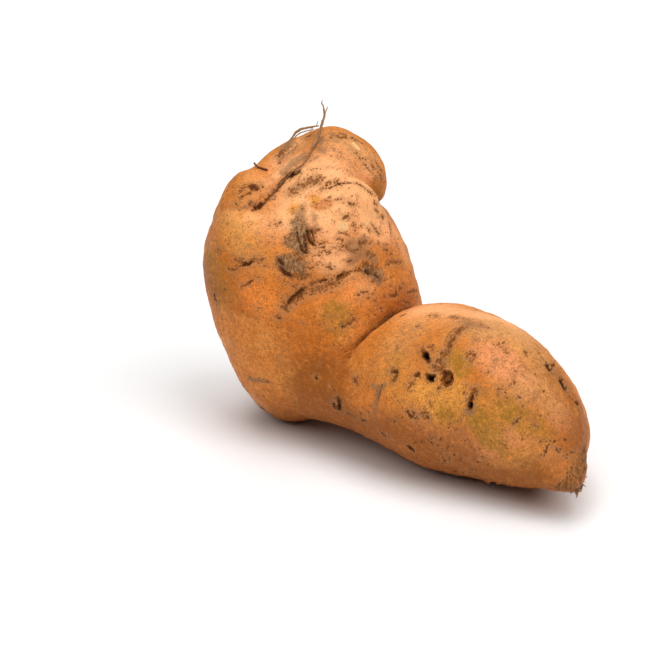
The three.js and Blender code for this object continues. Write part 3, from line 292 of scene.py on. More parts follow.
    ('scar', 1.4, 0.8, [(25.9, 13.4, 82.4), (26.6, 14.5, 82.9)]),
    ('scar', 1.4, 0.75, [(29.4, 21.2, 84.5), (29.6, 20.7, 83.7)]),
    ('scar', 1.4, 0.7, [(30, 18.4, 80.5), (30.2, 17.9, 79.4)]),
    ('dark', 1.6, 1.1, [(26.2, 23.8, 92.2), (26.4, 21.7, 90.8)]),
    ('scar', 1.4, 0.85, [(26.3, 19.6, 89.5), (26.7, 21.2, 89.8)]),
    ('scar', 1.4, 0.9, [(19.7, 11.5, 94.3), (20.8, 12.2, 93), (21.8, 13, 91.7)]),
    ('scar', 1.7, 0.9, [(17.7, 6.8, 89.5), (18.7, 7.9, 89.8)]),
    ('scar', 1.5, 0.8, [(17.7, 8.9, 94), (17.1, 8.7, 95.1)]),
    ('scar', 1.6, 0.8, [(18.7, 11, 96.1), (19.7, 11.8, 95)]),
    ('scar', 1.6, 0.8, [(10.7, 4.3, 97.5), (12.2, 5.5, 97.7), (12.6, 5.4, 96.8)]),
    ('scar', 1.6, 0.75, [(11.2, 4.1, 96.1), (12.2, 4.7, 95.9)]),
    ('scar', 1.4, 0.75, [(14.3, 6.7, 96.6), (15.1, 7.5, 96.8)]),
    ('scar', 1.5, 0.8, [(5.5, 0.5, 95.4), (7.1, 1.3, 95.5), (8.7, 1.8, 94.8)]),
    ('scar', 1.7, 0.85, [(4.7, -0.5, 93.4), (5.9, -0.1, 93.3), (6.9, 0.1, 92.6)]),
    ('scar', 1.4, 0.8, [(22, 14.3, 93.2), (22.4, 14.4, 92.3)]),
    ('scar', 1.4, 0.7, [(15.5, 6.2, 93.2), (15.7, 6, 92.2)]),
    ('scar', 1.4, 0.7, [(21.2, 10.3, 88.6), (21.8, 10.6, 87.7)]),
    ('scar', 1.8, 0.8, [(12.9, -2.3, 70.8), (14.3, -1.5, 71.5), (16.3, -0.4, 71.6)]),
    ('scar', 2, 0.95, [(26.7, 6.4, 67.8), (28.1, 7.7, 67.1), (28.8, 8.7, 67.8)]),
    ('scar', 1.5, 1, [(30.2, 11.2, 69.3), (30.5, 11.1, 68.3)]),
    ('scar', 1.5, 0.85, [(33.7, 15, 65.9), (35.5, 18.4, 65.4), (37.3, 22.6, 64.1)]),
    ('scar', 1.5, 0.75, [(25.6, 6.9, 71.8), (27.3, 8.2, 70.7)]),
    ('scar', 1.5, 0.75, [(23.6, 3.9, 68.8), (24.2, 4, 67.5)]),
    ('scar', 1.6, 0.7, [(22, 1, 63.9), (23.8, 2.3, 63.7)]),
    ('scar', 1.6, 0.7, [(19.1, 0.3, 67.8), (20.3, 0.8, 66.5)]),
    ('scar', 1.4, 0.7, [(31.1, 9.9, 63.8), (34.6, 14.5, 61.5)]),
    ('scar', 1.4, 0.7, [(31.1, 13.7, 71.4), (31.6, 13.7, 70.2)]),
    ('scar', 1.4, 0.7, [(18.7, 0.7, 70), (19.9, 1.5, 70.1)]),
    ('scar', 1.9, 0.9, [(7.1, -6.5, 59.2), (8.7, -6, 59.9), (10.3, -5.4, 60.7), (11.7, -4.8, 61.4)]),
    ('crack', 1.2, 0.8, [(5.9, -6.8, 58.7), (7.5, -6.4, 59.2)]),
    ('scar', 1.6, 0.6, [(-0.4, -7.2, 60.1), (1.2, -7.2, 59.5)]),
    ('scar', 2.1, 0.9, [(-19.6, -5.2, 62.8), (-17.8, -5.6, 62.5)]),
    ('scar', 1.6, 0.6, [(-9.9, -6.9, 61.3), (-8.7, -7, 60.5)]),
    ('scar', 1.5, 0.6, [(4.8, -8.8, 45.5), (6, -8.9, 44.7)]),
    ('scar', 2.6, 1.05, [(5.3, -16.8, 32), (5.7, -16.6, 29.8), (5.6, -15.2, 27.5)]),
    ('dark', 1.8, 0.9, [(5.7, -16.8, 30.3), (6, -16.3, 28.8)]),
    ('scar', 2.2, 0.95, [(3.4, -14.1, 29.2), (4, -13.6, 27.2)]),
    ('dirt', 5, 1, [(3.6, -14.8, 30.3), (5.2, -15, 27.8)]),
    ('scar', 2.4, 0.75, [(9.5, -18.6, 26.8), (10.7, -19.4, 26)]),
    ('dirt', 3.6, 0.9, [(8.7, -17.9, 26.9), (11.1, -19.4, 25.4)]),
    ('scar', 1.9, 0.95, [(14.6, -23.8, 26.2), (15.9, -25.6, 26.7)]),
    ('scar', 1.7, 0.8, [(17, -28.7, 31.9), (17.3, -29.1, 31.4)]),
    ('scar', 1.5, 0.8, [(13.3, -24.4, 29.8), (14.1, -25.2, 29.7)]),
    ('scar', 1.5, 0.6, [(3.2, -8.9, 21.8), (4, -9.3, 21.6)]),
    ('scar', 1.4, 0.6, [(2, -12.2, 36.6), (2.8, -13.2, 36.1)]),
    ('scar', 2.2, 0.85, [(41.1, -13.3, 66.3), (43, -13.2, 66.7), (43.7, -15.1, 66.7)]),
    ('scar', 1.4, 0.8, [(35.6, -19.1, 63.8), (36.4, -18.9, 64.2)]),
    ('dirt', 3.8, 0.55, [(33, -19.9, 62.7), (36.9, -20.2, 64)]),
    ('scar', 1.4, 0.7, [(49.1, -4, 66.7), (50.3, -3.8, 66.7)]),
    ('scar', 1.5, 0.7, [(27.9, -24.8, 58.1), (28, -26.3, 57.2)]),
    ('band', 2.4, 0.42, [(48.8, -19.8, 67.8), (51.4, -22, 68.4), (54.2, -26.2, 68.9), (57, -28.7, 69.2), (59.9, -31.6, 69), (61.9, -34.2, 68.5)]),
    ('scar', 1.9, 0.8, [(49.2, -19.4, 67.9), (50.4, -19.6, 68.1), (51, -21.8, 68.3)]),
    ('scar', 1.5, 0.75, [(58.6, -28.6, 69.3), (60.2, -31.6, 69), (62, -33.8, 68.6)]),
    ('scar', 1.3, 0.7, [(52.5, -22.2, 68.7), (55, -25.2, 69.1), (57.9, -27.1, 69.4)]),
    ('dirt', 3.2, 0.9, [(54, -28.3, 68.6), (56.9, -31, 68.8), (59.8, -33, 68.7)]),
    ('dirt', 3, 0.75, [(51.1, -25.8, 68.1), (53.7, -27.3, 68.7), (56.3, -28.9, 69), (59.1, -31.5, 69)]),
    ('band', 2.9, 0.95, [(53.4, -31.3, 67.9), (51.1, -32.1, 66.8), (49.1, -33.8, 65.2), (47.9, -35.6, 63.6), (46.3, -37.7, 61.1), (44.8, -38.8, 59.1), (43.2, -39.7, 57), (41.4, -39.8, 55.2)]),
    ('scar', 1.9, 0.9, [(53, -31.7, 67.6), (51.5, -32.1, 66.9), (50.3, -33, 66.1)]),
    ('scar', 2.1, 1, [(47.3, -37, 62.3), (48.1, -35.7, 63.6), (49.1, -34.5, 64.8)]),
    ('scar', 1.9, 0.95, [(43.9, -37.4, 59.6), (45.1, -38.7, 59.5), (46.3, -38.4, 60.6)]),
    ('scar', 2.2, 1, [(42.5, -38.9, 57.1), (43.6, -40.2, 56.8), (44.5, -41.6, 56.1), (43.5, -41.9, 54.8)]),
    ('scar', 1.9, 0.9, [(40.6, -39.6, 54.7), (42.1, -40.6, 54.9), (42.6, -41.7, 54.1)]),
    ('crack', 1.2, 0.8, [(50.1, -29.7, 67.1), (47.8, -31.1, 65.6), (46.2, -32.8, 64), (45.3, -34.3, 62.7)]),
    ('dirt', 4.8, 0.8, [(40.3, -37.8, 56.3), (42.4, -41.3, 54.4), (41.3, -42.1, 52.2)]),
    ('scar', 2, 0.85, [(39.8, -32.3, 60.3), (40.7, -32.7, 60.6), (40.8, -34.1, 59.8)]),
    ('scar', 2.2, 1, [(37.2, -31.9, 58.9), (37.7, -32.9, 58.5), (39.4, -37, 56.4)]),
    ('hole', 2, 1, [(38.2, -34.1, 57.9), (38.6, -34.9, 57.6)]),
    ('dark', 1.5, 1, [(39.1, -35.8, 57.2), (38.9, -36.7, 56.2)]),
    ('hole', 1.8, 1, [(39.6, -41.4, 51.3), (40.3, -42, 51.3)]),
    ('dark', 1.6, 1, [(38.6, -40.2, 51.9), (39.8, -42, 50.8), (41.3, -42.1, 52.2)]),
    ('dark', 1.4, 0.8, [(39.8, -42.4, 50.1), (40.9, -42.9, 50.5)]),
    ('pit', 4.4, 1, [(45.9, -45.5, 52.5)]),
    ('dark', 1.7, 1.2, [(45, -43.6, 54.1), (46.2, -44.5, 54.2), (47.1, -45.6, 53.7)]),
    ('dark', 1.7, 1.1, [(44.9, -45.9, 50.5), (46, -46.7, 50.6), (46.7, -46.7, 51.5)]),
    ('dark', 1.2, 0.8, [(44.6, -44.5, 52.4), (44.7, -45.2, 51.5)]),
    ('scar', 1.5, 0.8, [(47.8, -46.3, 53.5), (48.2, -47.3, 52.3), (47.6, -47.8, 50.9)]),
    ('scar', 1.6, 0.8, [(42.2, -45.4, 47.7), (43.1, -45.7, 48.4), (43.8, -45.8, 49.3)]),
    ('dark', 1.9, 1, [(34.7, -38.1, 50.9), (35.4, -38.2, 51.5)]),
    ('scar', 1.6, 0.8, [(34.3, -38.8, 49.5), (33.2, -39, 48), (32.1, -39.3, 46)]),
    ('scar', 2.2, 0.9, [(33.2, -39.1, 47.8), (32.2, -39.2, 46.4)]),
    ('scar', 1.3, 0.75, [(35.6, -39.2, 50.3), (36.3, -39.7, 50.3)]),
    ('scar', 2, 1.05, [(25.6, -31.7, 50.4), (27.3, -32.9, 50.7), (27.4, -33.8, 49.8), (26.5, -34.2, 48.1), (26.1, -34.4, 47.3)]),
    ('dark', 1.4, 0.8, [(26.5, -32.7, 50.2), (27.4, -33.3, 50.4), (26.9, -33.7, 49.3)]),
    ('dirt', 2.8, 0.7, [(25.8, -32.5, 49.7), (27.2, -34.8, 48.1)]),
    ('hole', 1.5, 1, [(54.5, -54.6, 46), (54.3, -54.8, 45)]),
    ('dark', 1.3, 0.85, [(54.9, -53.8, 48.7), (54.4, -54.1, 47.2)]),
    ('scar', 2.4, 1.1, [(56, -53.6, 50.6), (55.1, -53.8, 48.9), (54.4, -54.1, 47)]),
    ('dark', 1.4, 0.9, [(53.8, -54.6, 44.6), (53.7, -54.7, 44)]),
    ('scar', 1.7, 0.9, [(54.2, -53.4, 48.5), (55.6, -53.8, 49.7), (56.9, -53.6, 51.4)]),
    ('dirt', 3.4, 0.8, [(52.8, -54.3, 43), (54.2, -55.3, 43), (55.6, -56, 43.7)]),
    ('dirt', 2.6, 0.7, [(52.8, -53.4, 46.3), (56, -55.5, 45.9)]),
    ('scar', 1.5, 0.6, [(52.1, -54.2, 41.7), (51, -53.9, 39.2), (50, -53.4, 37.3)]),
    ('scar', 2, 0.85, [(53.1, -44, 60.7), (53.8, -43.3, 61.8), (55.3, -43.7, 62.2), (56.1, -45.4, 61.2), (54.8, -46.2, 59.7)]),
    ('dirt', 3.2, 0.6, [(53.8, -44.1, 61.1), (55.6, -46.1, 60.3)]),
    ('scar', 1.3, 0.6, [(52.5, -50.3, 52.5), (53.2, -51, 52.1)]),
    ('dirt', 2.7, 0.95, [(18.6, -29.1, 43.1), (20.1, -31.1, 42.5), (21.6, -32.1, 43.9), (22.7, -32.7, 45)]),
    ('dirt', 2.6, 1.25, [(20.5, -31.3, 43), (20.5, -32, 40.8), (19.9, -31.9, 37.8)]),
    ('dirt', 3.4, 1.3, [(19.6, -31.6, 35.6), (19.4, -31.4, 33), (19.5, -30.9, 29.8), (19.9, -29.9, 26.4)]),
    ('dirt', 2.6, 0.9, [(19.9, -29.2, 25.3), (20.8, -28.4, 22.8)]),
    ('crack', 1.2, 0.8, [(21.8, -32.1, 44.3), (21, -32.2, 42.1), (20.7, -32.4, 40.1), (20.5, -32.5, 38.1)]),
    ('crack', 1.1, 0.6, [(18.6, -29.1, 43), (19.7, -30.8, 42), (20.1, -31.7, 40.3)]),
    ('scar', 1.4, 0.6, [(20.3, -31.5, 41.8), (19.5, -31.2, 39.6)]),
    ('scar', 2, 1, [(11.6, -19.9, 42), (12.2, -20.9, 40.9)]),
    ('scar', 1.5, 0.8, [(12.7, -21.1, 43.3), (13.1, -21.4, 43.9)]),
    ('scar', 1.3, 0.5, [(11, -18.4, 44.5), (11.6, -19.2, 44.4)]),
    ('scar', 2, 0.95, [(31.7, -41.7, 37.5), (32.3, -42.2, 36.3), (33.6, -43, 35.4)]),
    ('scar', 1.8, 0.8, [(33.4, -42.6, 38.1), (34.1, -43.2, 37.5)]),
    ('scar', 2.1, 0.85, [(36.5, -44.6, 37.7), (38.3, -45.6, 38.8), (38.7, -46.1, 37.1)]),
    ('scar', 1.6, 0.7, [(37.3, -45.3, 36.1), (39.5, -46.6, 36.1)]),
    ('dirt', 3.6, 0.75, [(32.5, -42.3, 36.3), (36.2, -44.5, 36.8), (39.1, -46.3, 37.2)]),
    ('scar', 1.5, 0.75, [(39.6, -45.5, 42.8), (40.3, -46.2, 42.1)]),
    ('scar', 1.3, 0.6, [(29.1, -39.2, 41.2), (30.2, -39.9, 41.3)]),
    ('scar', 1.4, 0.5, [(25.7, -36.1, 43.3), (26.5, -37, 42.4)]),
    ('crack', 1.3, 0.9, [(21.1, -29.7, 24), (22.6, -31, 23.5), (23.8, -31.9, 23.1)]),
    ('scar', 1.5, 0.8, [(24.5, -33.3, 24.1), (25.3, -33.9, 23.7)]),
    ('scar', 1.4, 0.7, [(26.9, -38.4, 32), (27.7, -38.9, 31.8)]),
    ('dirt', 5, 0.6, [(22.3, -29.5, 22), (26.8, -34.3, 22), (30.6, -37, 21.1)]),
    ('dirt', 6, 0.55, [(10.8, -15.2, 21), (16.2, -21.6, 21.2)]),
    ('dark', 1.6, 1.3, [(32.8, -39.1, 21.6), (33.4, -39.2, 21.1), (33.9, -39.1, 20.5)]),
    ('scar', 1.2, 0.8, [(40.1, -45.9, 26.8), (41, -46.4, 26.3), (41.8, -46.7, 26)]),
    ('scar', 1.6, 0.75, [(40.4, -46.7, 28.9), (41.1, -47.2, 29.1)]),
    ('scar', 1.4, 0.8, [(53.2, -55.3, 31.6), (54.1, -55.8, 31.9)]),
    ('scar', 1.5, 0.7, [(48.2, -52.3, 35.2), (49, -52.8, 34.6)]),
    ('scar', 1.4, 0.7, [(47.1, -51.5, 37.3), (46.8, -51.3, 35.6)]),
    ('scar', 1.4, 0.75, [(45.7, -45.3, 18.9), (45.8, -43.6, 16.6)]),
    ('scar', 1.4, 0.75, [(47.3, -48.3, 21.9), (47.7, -46, 18.1)]),
    ('scar', 1.4, 0.7, [(48.7, -49.7, 22.9), (49.4, -50.2, 22.9)]),
    ('scar', 1.5, 0.6, [(44.6, -48.1, 25.1), (45.1, -47.3, 22.7)]),
    ('scar', 1.4, 0.6, [(43.3, -45.3, 21), (43.9, -45.1, 20)]),
    ('scar', 1.4, 0.6, [(48.2, -50.8, 26.3), (48.7, -51.4, 27)]),
    ('scar', 1.4, 0.6, [(56, -56.4, 28.4), (56.9, -57, 28.9)]),
    ('scar', 1.4, 0.6, [(56.7, -54.8, 23.2), (57.2, -55.1, 23.1)]),
    ('scar', 1.5, 0.6, [(59.4, -57.6, 25.9), (60.1, -58, 25.6)]),
    ('scar', 1.7, 0.7, [(55.6, -46.9, 14.2), (55.9, -50.1, 17.1)]),
    ('scar', 1.4, 0.6, [(52.7, -45.2, 14.2), (53.8, -45.6, 14)]),
    ('scar', 1.3, 0.6, [(42.2, -40.4, 15.4), (42.8, -40.2, 14.9)]),
    ('scar', 1.4, 0.5, [(59.3, -59, 38.1), (60.4, -59.6, 38)]),
    ('scar', 1.7, 0.85, [(65.8, -42.7, 65.2), (65.9, -43.8, 64.6)]),
    ('scar', 1.6, 0.85, [(67, -45.2, 63.8), (67.8, -46, 63.3)]),
    ('scar', 1.3, 0.7, [(66.7, -41.7, 65.7), (67.4, -42.1, 65.4)]),
    ('scar', 2, 0.85, [(75.4, -43.5, 62.9), (75.4, -45.2, 62.1)]),
    ('scar', 1.3, 0.6, [(62.2, -44.3, 64), (62.5, -44.7, 63.8)]),
    ('dirt', 2, 0.7, [(63.6, -47.8, 61.7), (64.3, -48.9, 61)]),
    ('scar', 1.3, 0.6, [(66.9, -49.1, 61.1), (67.6, -49.1, 61.1)]),
    ('scar', 1.4, 0.65, [(60.6, -51.2, 57.5), (61.4, -51.6, 57.4)]),
    ('dirt', 1.9, 0.6, [(62.4, -50, 59.4), (63.1, -51, 58.6)]),
    ('dirt', 2.2, 0.55, [(66.4, -51, 59.4), (67.8, -51.7, 58.9)]),
    ('scar', 1.4, 0.7, [(71.2, -52.3, 58.3), (71.9, -52.1, 58.4)]),
    ('scar', 1.8, 0.85, [(69.5, -55.6, 54.8), (70.6, -55.5, 55)]),
    ('scar', 1.8, 0.75, [(64.3, -55.7, 53.3), (65.4, -56.3, 52.9)]),
    ('scar', 1.6, 0.6, [(66.1, -57.1, 51.8), (67.2, -57.7, 51.3)]),
    ('scar', 1.4, 0.85, [(71.7, -58.9, 50.5), (72.2, -59.3, 49.9)]),
    ('scar', 1.4, 0.5, [(75.3, -57.4, 52.3), (76, -57.8, 51.7)]),
    ('scar', 1.4, 0.6, [(72.9, -60.6, 47.7), (73.5, -60.8, 47.3)]),
    ('dark', 2.1, 1.05, [(83.7, -45.6, 57.5), (84.4, -46.5, 56.6)]),
    ('scar', 1.8, 0.95, [(85.5, -43.6, 56.9), (87, -40.2, 56.4)]),
    ('crack', 1.3, 0.85, [(80.3, -39.4, 61.8), (81.5, -41.9, 60.3), (83.3, -43.6, 58.5), (84.7, -45.5, 56.8)]),
    ('scar', 1.4, 0.7, [(81, -41.2, 60.8), (81.5, -42.2, 60.2)]),
    ('dirt', 2.6, 0.75, [(84.9, -46.7, 56.1), (86.8, -47.3, 54.3), (88.3, -48, 52.6), (90.1, -49.5, 49.9)]),
    ('dark', 2.1, 1.15, [(89.3, -46.1, 52.4), (89.5, -47.8, 51.5), (90.1, -48.9, 50.3)]),
    ('scar', 1.6, 0.9, [(88.3, -48, 52.6), (89.4, -49.1, 51)]),
    ('dark', 1.7, 1, [(94.6, -49.6, 44), (95.4, -48, 43.6)]),
    ('scar', 1.5, 0.7, [(95, -50.4, 42.8)]),
    ('crack', 1.2, 0.8, [(90.5, -49.5, 49.5), (92.5, -50, 46.9), (94.5, -50, 44)]),
    ('scar', 1.7, 0.85, [(83.2, -64.9, 34.6), (82.4, -65.5, 33.2), (81.3, -66.5, 30.5)]),
    ('scar', 1.4, 0.7, [(80, -65.1, 35.3), (80.7, -65.3, 34.4)]),
    ('dirt', 3.2, 0.8, [(84.9, -65.3, 32.7), (86.8, -65.3, 31.5), (88.3, -65.4, 30.4)]),
    ('scar', 1.9, 0.75, [(85.8, -65.4, 32), (86.9, -65.5, 31)]),
    ('scar', 1.5, 0.7, [(89, -65.8, 29.4), (89.8, -65.9, 28.8)]),
    ('scar', 1.7, 0.9, [(91.7, -63.5, 29.7), (93, -62.1, 29.7)]),
    ('scar', 1.4, 0.7, [(96.8, -56.7, 29.1), (97.5, -55.6, 28.1)]),
    ('crack', 1.2, 0.8, [(69.1, -62.9, 39.8), (70.3, -62.7, 41.9), (71.8, -62.4, 43.4)]),
    ('scar', 1.4, 0.8, [(70.3, -62.6, 42.3), (71.1, -62.6, 42.7)]),
    ('scar', 1.4, 0.7, [(71.8, -62.6, 42.9), (72.3, -62.5, 43.4)]),
    ('dirt', 3.4, 0.5, [(66.8, -62.2, 39.9), (69.3, -63.2, 38.7)]),
    ('scar', 1.5, 0.65, [(77.1, -63.6, 41.3), (78, -63.7, 40.7)]),
    ('scar', 1.3, 0.5, [(76.6, -64.8, 37), (77.4, -64.9, 36.2)]),
    ('scar', 1.4, 0.5, [(89.9, -59.4, 40.7), (90.7, -59.2, 40)]),
    ('scar', 1.4, 0.5, [(90.4, -57.2, 43.2), (91, -57.1, 42.5)]),
    ('scar', 1.4, 0.55, [(85.3, -62.2, 40.7), (86, -62.1, 40.2)]),
    ('scar', 1.4, 0.6, [(83.7, -61.8, 42.5), (84.3, -61.9, 42)]),
    ('scar', 1.4, 0.55, [(82.6, -61.1, 44.6), (83.4, -61, 44.2)]),
    ('scar', 1.6, 0.6, [(97.2, -54.2, 34), (97.4, -54.4, 32.9)]),
    ('wart', 2, 1, [(69.5, -54.2, 13.5), (70.6, -54.9, 13.7)]),
    ('wart', 1.8, 0.8, [(62.2, -43.7, 9.5), (63.2, -45.6, 10.1)]),
    ('wart', 1.6, 0.6, [(66.3, -48.8, 11)]),
    ('scar', 1.6, 0.9, [(61.2, -45.3, 10.6), (62.9, -48.1, 11.7)]),
    ('scar', 1.5, 0.8, [(68.1, -53.3, 13.3), (70.9, -55.3, 13.8)]),
    ('tail', 5.5, 1, [(97.1, -59.6, 24.5), (95.2, -66.5, 23.2), (93.5, -69.4, 20)]),
    ('tail', 4.5, 0.9, [(98.2, -55, 26.6), (98.1, -56.9, 24.1), (97, -63.1, 22.8)]),
    ('tail', 4.5, 0.8, [(91.8, -69.4, 24.1), (90.3, -70.8, 20.3), (87.2, -69.9, 18.2)]),
    ('scar', 1.5, 0.7, [(92.7, -64.2, 27.8), (92.4, -66.2, 26.7)]),
    ('scar', 1.5, 0.8, [(91.7, -67.6, 26.1), (92, -68.9, 24.7)]),
    ('scar', 1.6, 0.9, [(94.6, -66.4, 24.3), (94.7, -67.9, 22.2)]),
    ('dirt', 3.4, 0.9, [(82.4, -68.7, 19.3), (85.6, -70.1, 19.1), (88.9, -70.5, 18.9)]),
    ('dirt', 3.6, 0.8, [(86.9, -70.9, 21.1), (89.8, -70.8, 22.3)]),
    ('crack', 1.2, 0.8, [(85, -69.6, 18.7), (88.6, -70.4, 18.6), (91.6, -69.9, 18.6)]),
    ('scar', 1.5, 0.8, [(89.4, -70, 18), (92.1, -69.3, 17.9)]),
    ('dirt', 4, 0.8, [(87.9, -65.7, 30.1), (91, -65.1, 28.6), (94.5, -61.8, 27.1)]),
    ('dirt', 2.8, 0.8, [(96.1, -58.7, 26.6), (96.6, -60.6, 25), (96.3, -63.6, 23.9)]),
    ('dirt', 3, 0.5, [(84.1, -70, 20.3), (86.9, -70.9, 21.5)]),
    ('peach_and_highlight', 9, 0.65, [(-14.3, 19.4, 119.5), (-7.9, 15.3, 117.3), (-2.8, 14.6, 119.2)]),
    ('peach_and_highlight', 6, 0.6, [(-18.2, 29.8, 117.6), (-14.2, 31.9, 120.8), (-10.1, 32.4, 124)]),
    ('dirt', 5, 0.4, [(-19, 28.7, 116.6), (-14.2, 32.4, 121.1), (-10.1, 33, 124.2)]),
    ('pink', 9, 0.5, [(2, 19, 124.5), (7.9, 17.4, 120.9)]),
    ('peach_and_highlight', 10, 0.8, [(-9.9, 8.3, 108.6), (-2, 6.8, 109.9)]),
    ('peach_and_highlight', 11, 1.1, [(3.9, 6.6, 109.5), (17.1, 11.7, 104)]),
    ('peach_and_highlight', 8, 0.7, [(2.7, 3, 103.2), (10.7, 5, 98.9)]),
    ('peach_and_highlight', 9, 1.1, [(17.1, 10.9, 101.3), (21.2, 14.9, 96.8)]),
    ('peach_and_highlight', 7, 0.5, [(0, -3.8, 85.2), (5.9, -1.6, 87.4)]),
    ('peach_and_highlight', 5, 0.3, [(-31.4, 16.2, 113), (-27.2, 20.2, 114)]),
    ('rust_and_shade', 8, 0.35, [(-33.9, 17.2, 112.7), (-25, 12.6, 107.8)]),
    ('peach_and_highlight', 6, 0.25, [(-16.1, 2.7, 98), (-20.9, 3.1, 95.4)]),
    ('peach_and_highlight', 6, 0.5, [(-15.8, 5.5, 101.7), (-13, 1.7, 98.3)]),
    ('peach_and_highlight', 6, 0.5, [(29.4, 27.8, 87.8), (32.7, 23.8, 79.2)]),
    ('peach_and_highlight', 7, 0.45, [(7.9, -4, 71.6), (15.9, -0.2, 73.2)]),
    # painted highlight: a broad light stripe along the top ridge of the side lobe
    ('peach_and_highlight', 13, 0.8, [(39.5, -5.5, 66.2), (45.4, -6.1, 66.9), (57.2, -16.7, 68.6)]),
    ('peach_and_highlight', 6, 0.3, [(42, -45.5, 47.1), (48.8, -49.7, 48.8)]),
    ('peach_and_highlight', 9, 0.6, [(10, 24, 124.9), (14.8, 25.3, 122.1), (18.9, 25.1, 116.8)]),
    ('tan', 7, 0.45, [(14, 26.4, 123.4), (18.9, 27.1, 119.1)]),
    # painted highlight: bright orange on a bulge low on the left of the tall lobe
    ('ember_highlight_and_shade', 7, 0.7, [(-30.5, -0.9, 73.5), (-24.9, -3.7, 69.4)]),
    ('ember_highlight_and_shade', 6, 0.6, [(2.8, -5.2, 71.6), (9.9, -3.2, 72.1)]),
    ('dots', 9, 0.5, [(38.5, -42.4, 20.9), (55.1, -52.2, 20.3)]),
    ('dots', 7, 0.5, [(14.7, -1.7, 69.5), (29.4, 8.3, 65.2)]),
    ('dots', 7, 0.45, [(-41.2, 8.2, 78.8), (-38.8, 5, 70.6)]),
    ('dots', 8, 0.35, [(-9.9, -6.9, 61.3), (2, -7.5, 57.3)]),
    ('dots', 7, 0.35, [(7.9, -17.2, 27), (23.3, -33.8, 27.3)]),
    ('dots', 7, 0.3, [(26.8, -37.2, 42.5), (34.3, -43.1, 38.7)]),
    ('ember_highlight_and_shade', 7, 0.35, [(18.2, -29.7, 39.4), (23.1, -35.1, 38.7)]),
    ('peach_and_highlight', 8, 0.4, [(-35.3, 8.6, 95.4), (-29.7, 7.5, 98.2)]),
    ('peach_and_highlight', 7, 0.35, [(-37, 11.9, 101), (-31.3, 8.9, 100.2)]),
    ('ember_highlight_and_shade', 6, 0.25, [(85.8, -58.6, 46), (90.5, -59.6, 39.6)]),
    ('peach_and_highlight', 7, 0.35, [(68.4, -22.6, 67.8), (74.3, -33.2, 65.9)]),
    ('tan', 7, 0.5, [(-2, 25, 127.1), (4, 24.8, 128), (8, 23.1, 125.5)]),
    ('peach_and_highlight', 6, 0.4, [(-21.9, 14.5, 110.2), (-17.1, 16.6, 114.5)]),
    ('pink', 8, 0.4, [(-2.7, -0.8, 96.6), (7.9, 0.1, 91)]),
    ('peach_and_highlight', 8, 0.45, [(-1.2, -3.4, 88), (5.1, -2.3, 84.7)]),
    ('peach_and_highlight', 6, 0.4, [(2, 1, 99.3), (7.9, 2.1, 96.5)]),
    ('peach_and_highlight', 8, 0.5, [(18.7, 12.7, 101.6), (24.2, 19, 93.5)]),
    ('peach_and_highlight', 6, 0.15, [(-24.9, 6.7, 98.4), (-18.5, 0.1, 92.2)]),
    ('gold', 8, 0.5, [(-34.5, 9.5, 99.2), (-32.1, 5.5, 91.4)]),
    ('gold', 6, 0.3, [(-39.9, 11.9, 94.4), (-37, 7.5, 88.7)]),
    ('tan', 7, 0.5, [(-33.7, 4.7, 87.4), (-29.6, 0.7, 83.7)]),
    ('peach_and_highlight', 8, 0.55, [(65.1, -28.4, 69.1), (74.2, -34.1, 65.9)]),
    ('dirt', 5, 0.35, [(66.8, -30.5, 68.6), (77.6, -38.6, 63.5), (84.3, -41.3, 58.5)]),
    ('tan', 9, 0.95, [(65.5, -32.7, 68.6), (71, -34.9, 67), (77.6, -38.6, 63.5), (82.9, -44.1, 58.7)]),
    ('tan', 9, 0.7, [(73.1, -57.8, 52.1), (81.8, -56.2, 51.4), (85.9, -57, 47.8)]),
    ('tan', 8, 0.6, [(33.8, -20.3, 62.8), (29, -25.2, 58.4)]),
    ('tan', 10, 0.6, [(53.2, -51.3, 20.7), (65.8, -58.8, 20.9), (76.1, -66.1, 26.2)]),
    ('tan', 7, 0.5, [(52.4, -29, 68.1), (58, -35.7, 67.7)]),
    ('gold', 8, 0.7, [(40.5, -44.3, 47.4), (47.8, -49.9, 46.4), (43.4, -48.3, 41.7)]),
    ('gold', 7, 0.5, [(26.8, -35.7, 46), (31.7, -40.1, 43.7)]),
    ('dirt', 4.5, 0.35, [(23.4, -19.3, 58.3), (31.2, -16.3, 63), (39.1, -13.7, 65.8)]),
    ('pink', 7, 0.5, [(66.9, -62.8, 34.9), (72.2, -64.2, 37.1)]),
    ('pink', 9, 0.6, [(36.2, -44.7, 33.2), (45.5, -49.9, 29.3), (54.6, -55.3, 27.5)]),
    ('gold', 1.8, 1, [(71.2, -42.4, 64.7), (72.2, -43.3, 64)]),
    ('gold', 3.2, 0.6, [(76.3, -45, 61.9), (77.3, -46.4, 60.8)]),
    ('gold', 7, 0.35, [(41.2, -45.9, 44.8), (47.8, -49, 48.5)]),
    ('olive', 8, 0.6, [(-46.5, 15.3, 75.6), (-44.8, 12.3, 70.2), (-42.8, 9.9, 65.9)]),
    ('olive', 7, 0.35, [(-41.6, 9.3, 81), (-38.3, 4.6, 73.7)]),
    # partly painted shade: deeper red-brown on the left flank, which faces away from the light
    ('rust_and_shade', 9, 0.9, [(-40.4, 7, 77.5), (-35.5, 2.2, 69)]),
    ('olive', 4, 0.5, [(-48.7, 27.7, 84.4), (-47, 18.9, 82.9)]),
    ('olive', 5.2, 1.1, [(3.6, -6.1, 65.6), (6.3, -5.8, 63.4)]),
    ('olive', 7, 0.3, [(2, -7.6, 56.1), (6.7, -7.7, 53.1)]),
    ('olive', 5, 1.15, [(48.3, -42, 59.1), (51.1, -45.9, 57.4)]),
    ('olive', 4.5, 0.8, [(44.2, -49.2, 40), (46.4, -50.8, 39.1)]),
    ('olive', 5.6, 1.25, [(56.7, -57.4, 39.9), (59.7, -59.3, 37.4), (61.1, -60.2, 35)]),
